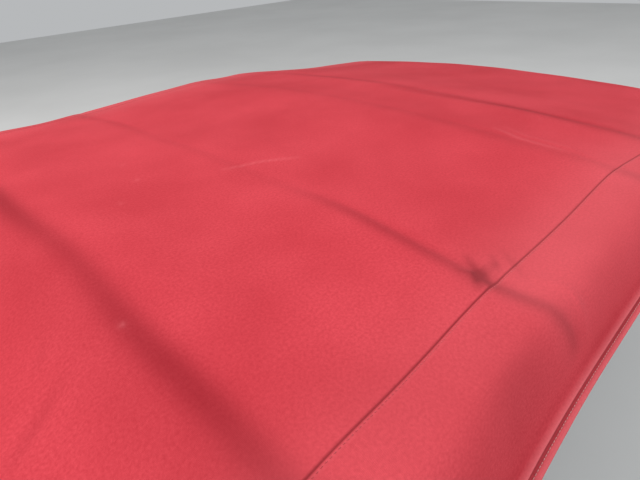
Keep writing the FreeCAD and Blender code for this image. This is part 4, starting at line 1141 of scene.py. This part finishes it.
# Beads along the belt, and along the quarters' front edges
BELT_BEAD_LIFT = 0.001
belt_ids = np.concatenate([left_ids[::-1, -1], grid_ids[0, ::-1][1:-1], right_ids[:, -1]])
strip("belt_bead", points[belt_ids] + (0, 0, BELT_BEAD_LIFT), normals[belt_ids],
      round_profile(0.0030, out=0.0004), black_lining, "rear")
for side_name, side in LEFT_AND_RIGHT:
    edge_ids = PANEL_IDS[side][-1]
    strip(f"quarter_bead_{side_name}", points[edge_ids], normals[edge_ids],
          round_profile(0.0032, flatten=0.8, out=-0.0012), red_canvas, "rear")
    sewn = PANEL_IDS[side][-3]
    stitches(f"quarter_stitches_{side_name}", [(points[sewn], normals[sewn])], pale_thread, "rear")

# Fasteners of the frame


def turned(name, rings, place, axis, material, body, sides=32, turn=0.0):
    """A turned part from (radius, height) rings, standing on place and pointing along axis."""
    along_axis = Vector(axis).normalized()
    rotation = along_axis.to_track_quat("Z", "Y").to_matrix()
    places = []
    for radius, height in rings:
        for angle in turns_round(sides, turn):
            local = Vector((radius * math.cos(angle), radius * math.sin(angle), height))
            places.append(tuple(Vector(place) + rotation @ local))
    piece = new_piece(name, places, tube_faces(len(rings), sides), [material], smooth_faces=sides > 8)
    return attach(piece, body)


PIVOT_CAP = [(0.0090, 0.0), (0.0090, 0.0008), (0.0084, 0.0012), (0.0066, 0.0012), (0.0064, 0.0020),
             (0.0052, 0.0029), (0.0032, 0.0034), (0.0030, 0.0029), (0.0006, 0.0027)]
WASHER = [(0.0082, 0.0), (0.0082, 0.0010), (0.0078, 0.0014), (0.0050, 0.0014)]
BOLT_HEAD = [(0.0072, 0.0014), (0.0075, 0.0018), (0.0075, 0.0060), (0.0066, 0.0068), (0.0030, 0.0066),
             (0.0006, 0.0060)]
# Pivots: name, place along and up, side face that carries the cap, its direction outward or inward, body
PIVOTS = [
    ("main", -0.100, 0.010, 0.446, -1, "root"),
    ("balance_low", -0.035, 0.047, 0.446, -1, "root"),
    ("main_high", -0.005, 0.282, 0.522, 1, "centre_section"),
    ("balance_high", 0.060, 0.319, 0.522, 1, "centre_section"),
    ("front", 0.430, 0.334, 0.522, 1, "front_section"),
]
BOLT_X = (-0.060, 0.060)
BOLT_Y = 0.575
FLANGE_TOP = 0.006
zinc_plate = cad_finish["plated_steel"]
for side_name, side in LEFT_AND_RIGHT:
    for name, x, z, y, way, body in PIVOTS:
        turned(f"pivot_cap_{name}_{side_name}", PIVOT_CAP, (x, side * y, z), (0, side * way, 0), zinc_plate,
               body)
    for number, x in enumerate(BOLT_X):
        place = (x, side * BOLT_Y, FLANGE_TOP)
        turned(f"bolt_washer_{side_name}_{number}", WASHER, place, (0, 0, 1), zinc_plate, "root")
        turned(f"bolt_head_{side_name}_{number}", BOLT_HEAD, place, (0, 0, 1), zinc_plate, "root", sides=6,
               turn=0.3 + number)

# Floor, light and camera
FLOOR_HALF = 6.0
FLOOR_Z = -0.0045
CAMERA_PLACE = Vector((-0.2137, -0.6522, 0.6741))
HEADING = math.radians(47.65)
PITCH = math.radians(29.48)
ROLL = math.radians(4.02)
FOCAL_PIXELS = 515.24
IMAGE_WIDTH = 640
SENSOR = 36.0


def floor_material():
    material, tree, shader = new_material("pale_floor", Specular_IOR_Level=0.2)
    nap = object_nap(tree, 60.0, 1.2)
    tone = mix_colours(tree, nap["Patches"], (0.60, 0.60, 0.59), (0.64, 0.64, 0.63))
    wire(tree, shader, Base_Color=tone, Roughness=0.8)
    return material


def floor():
    corners = [(x * FLOOR_HALF, y * FLOOR_HALF, FLOOR_Z) for x, y in ((-1, -1), (1, -1), (1, 1), (-1, 1))]
    new_piece("floor", corners, [(0, 1, 2, 3)], [floor_material()])


def area_light(name, place, aim, size, power, tint):
    lamp = bpy.data.lights.new(name, "AREA")
    lamp.shape = "RECTANGLE"
    lamp.size, lamp.size_y = size
    lamp.energy = power
    lamp.color = tint
    light = bpy.data.objects.new(name, lamp)
    light.location = place
    light.rotation_euler = (Vector(aim) - Vector(place)).to_track_quat("-Z", "Y").to_euler()
    scene.collection.objects.link(light)


def camera():
    lens = bpy.data.cameras.new("camera")
    lens.sensor_fit = "HORIZONTAL"
    lens.sensor_width = SENSOR
    lens.lens = FOCAL_PIXELS / IMAGE_WIDTH * SENSOR
    lens.clip_start = 0.02
    view = bpy.data.objects.new("camera", lens)
    heading = Matrix.Rotation(HEADING - math.pi / 2, 4, "Z")
    pitch = Matrix.Rotation(math.pi / 2 - PITCH, 4, "X")
    view.matrix_world = Matrix.Translation(CAMERA_PLACE) @ heading @ pitch @ Matrix.Rotation(-ROLL, 4, "Z")
    scene.collection.objects.link(view)
    scene.camera = view


floor()
area_light("key", (-1.7, 0.8, 2.9), (0.0, 0.0, 0.35), (1.4, 1.4), 97, (1.0, 0.97, 0.95))
area_light("fill", (1.5, -2.7, 2.2), (0.2, 0.0, 0.35), (2.4, 2.4), 66, (0.96, 0.98, 1.0))
area_light("back", (-2.2, -2.0, 1.6), (0.0, 0.0, 0.30), (2.4, 1.2), 10, (1.0, 1.0, 1.0))
camera()
world = bpy.data.worlds.new("studio")
world.use_nodes = True
wire(world.node_tree, world.node_tree.nodes["Background"], Color=(0.86, 0.88, 0.90), Strength=0.55)
scene.world = world
scene.view_settings.view_transform = "Standard"
scene.view_settings.look = "None"
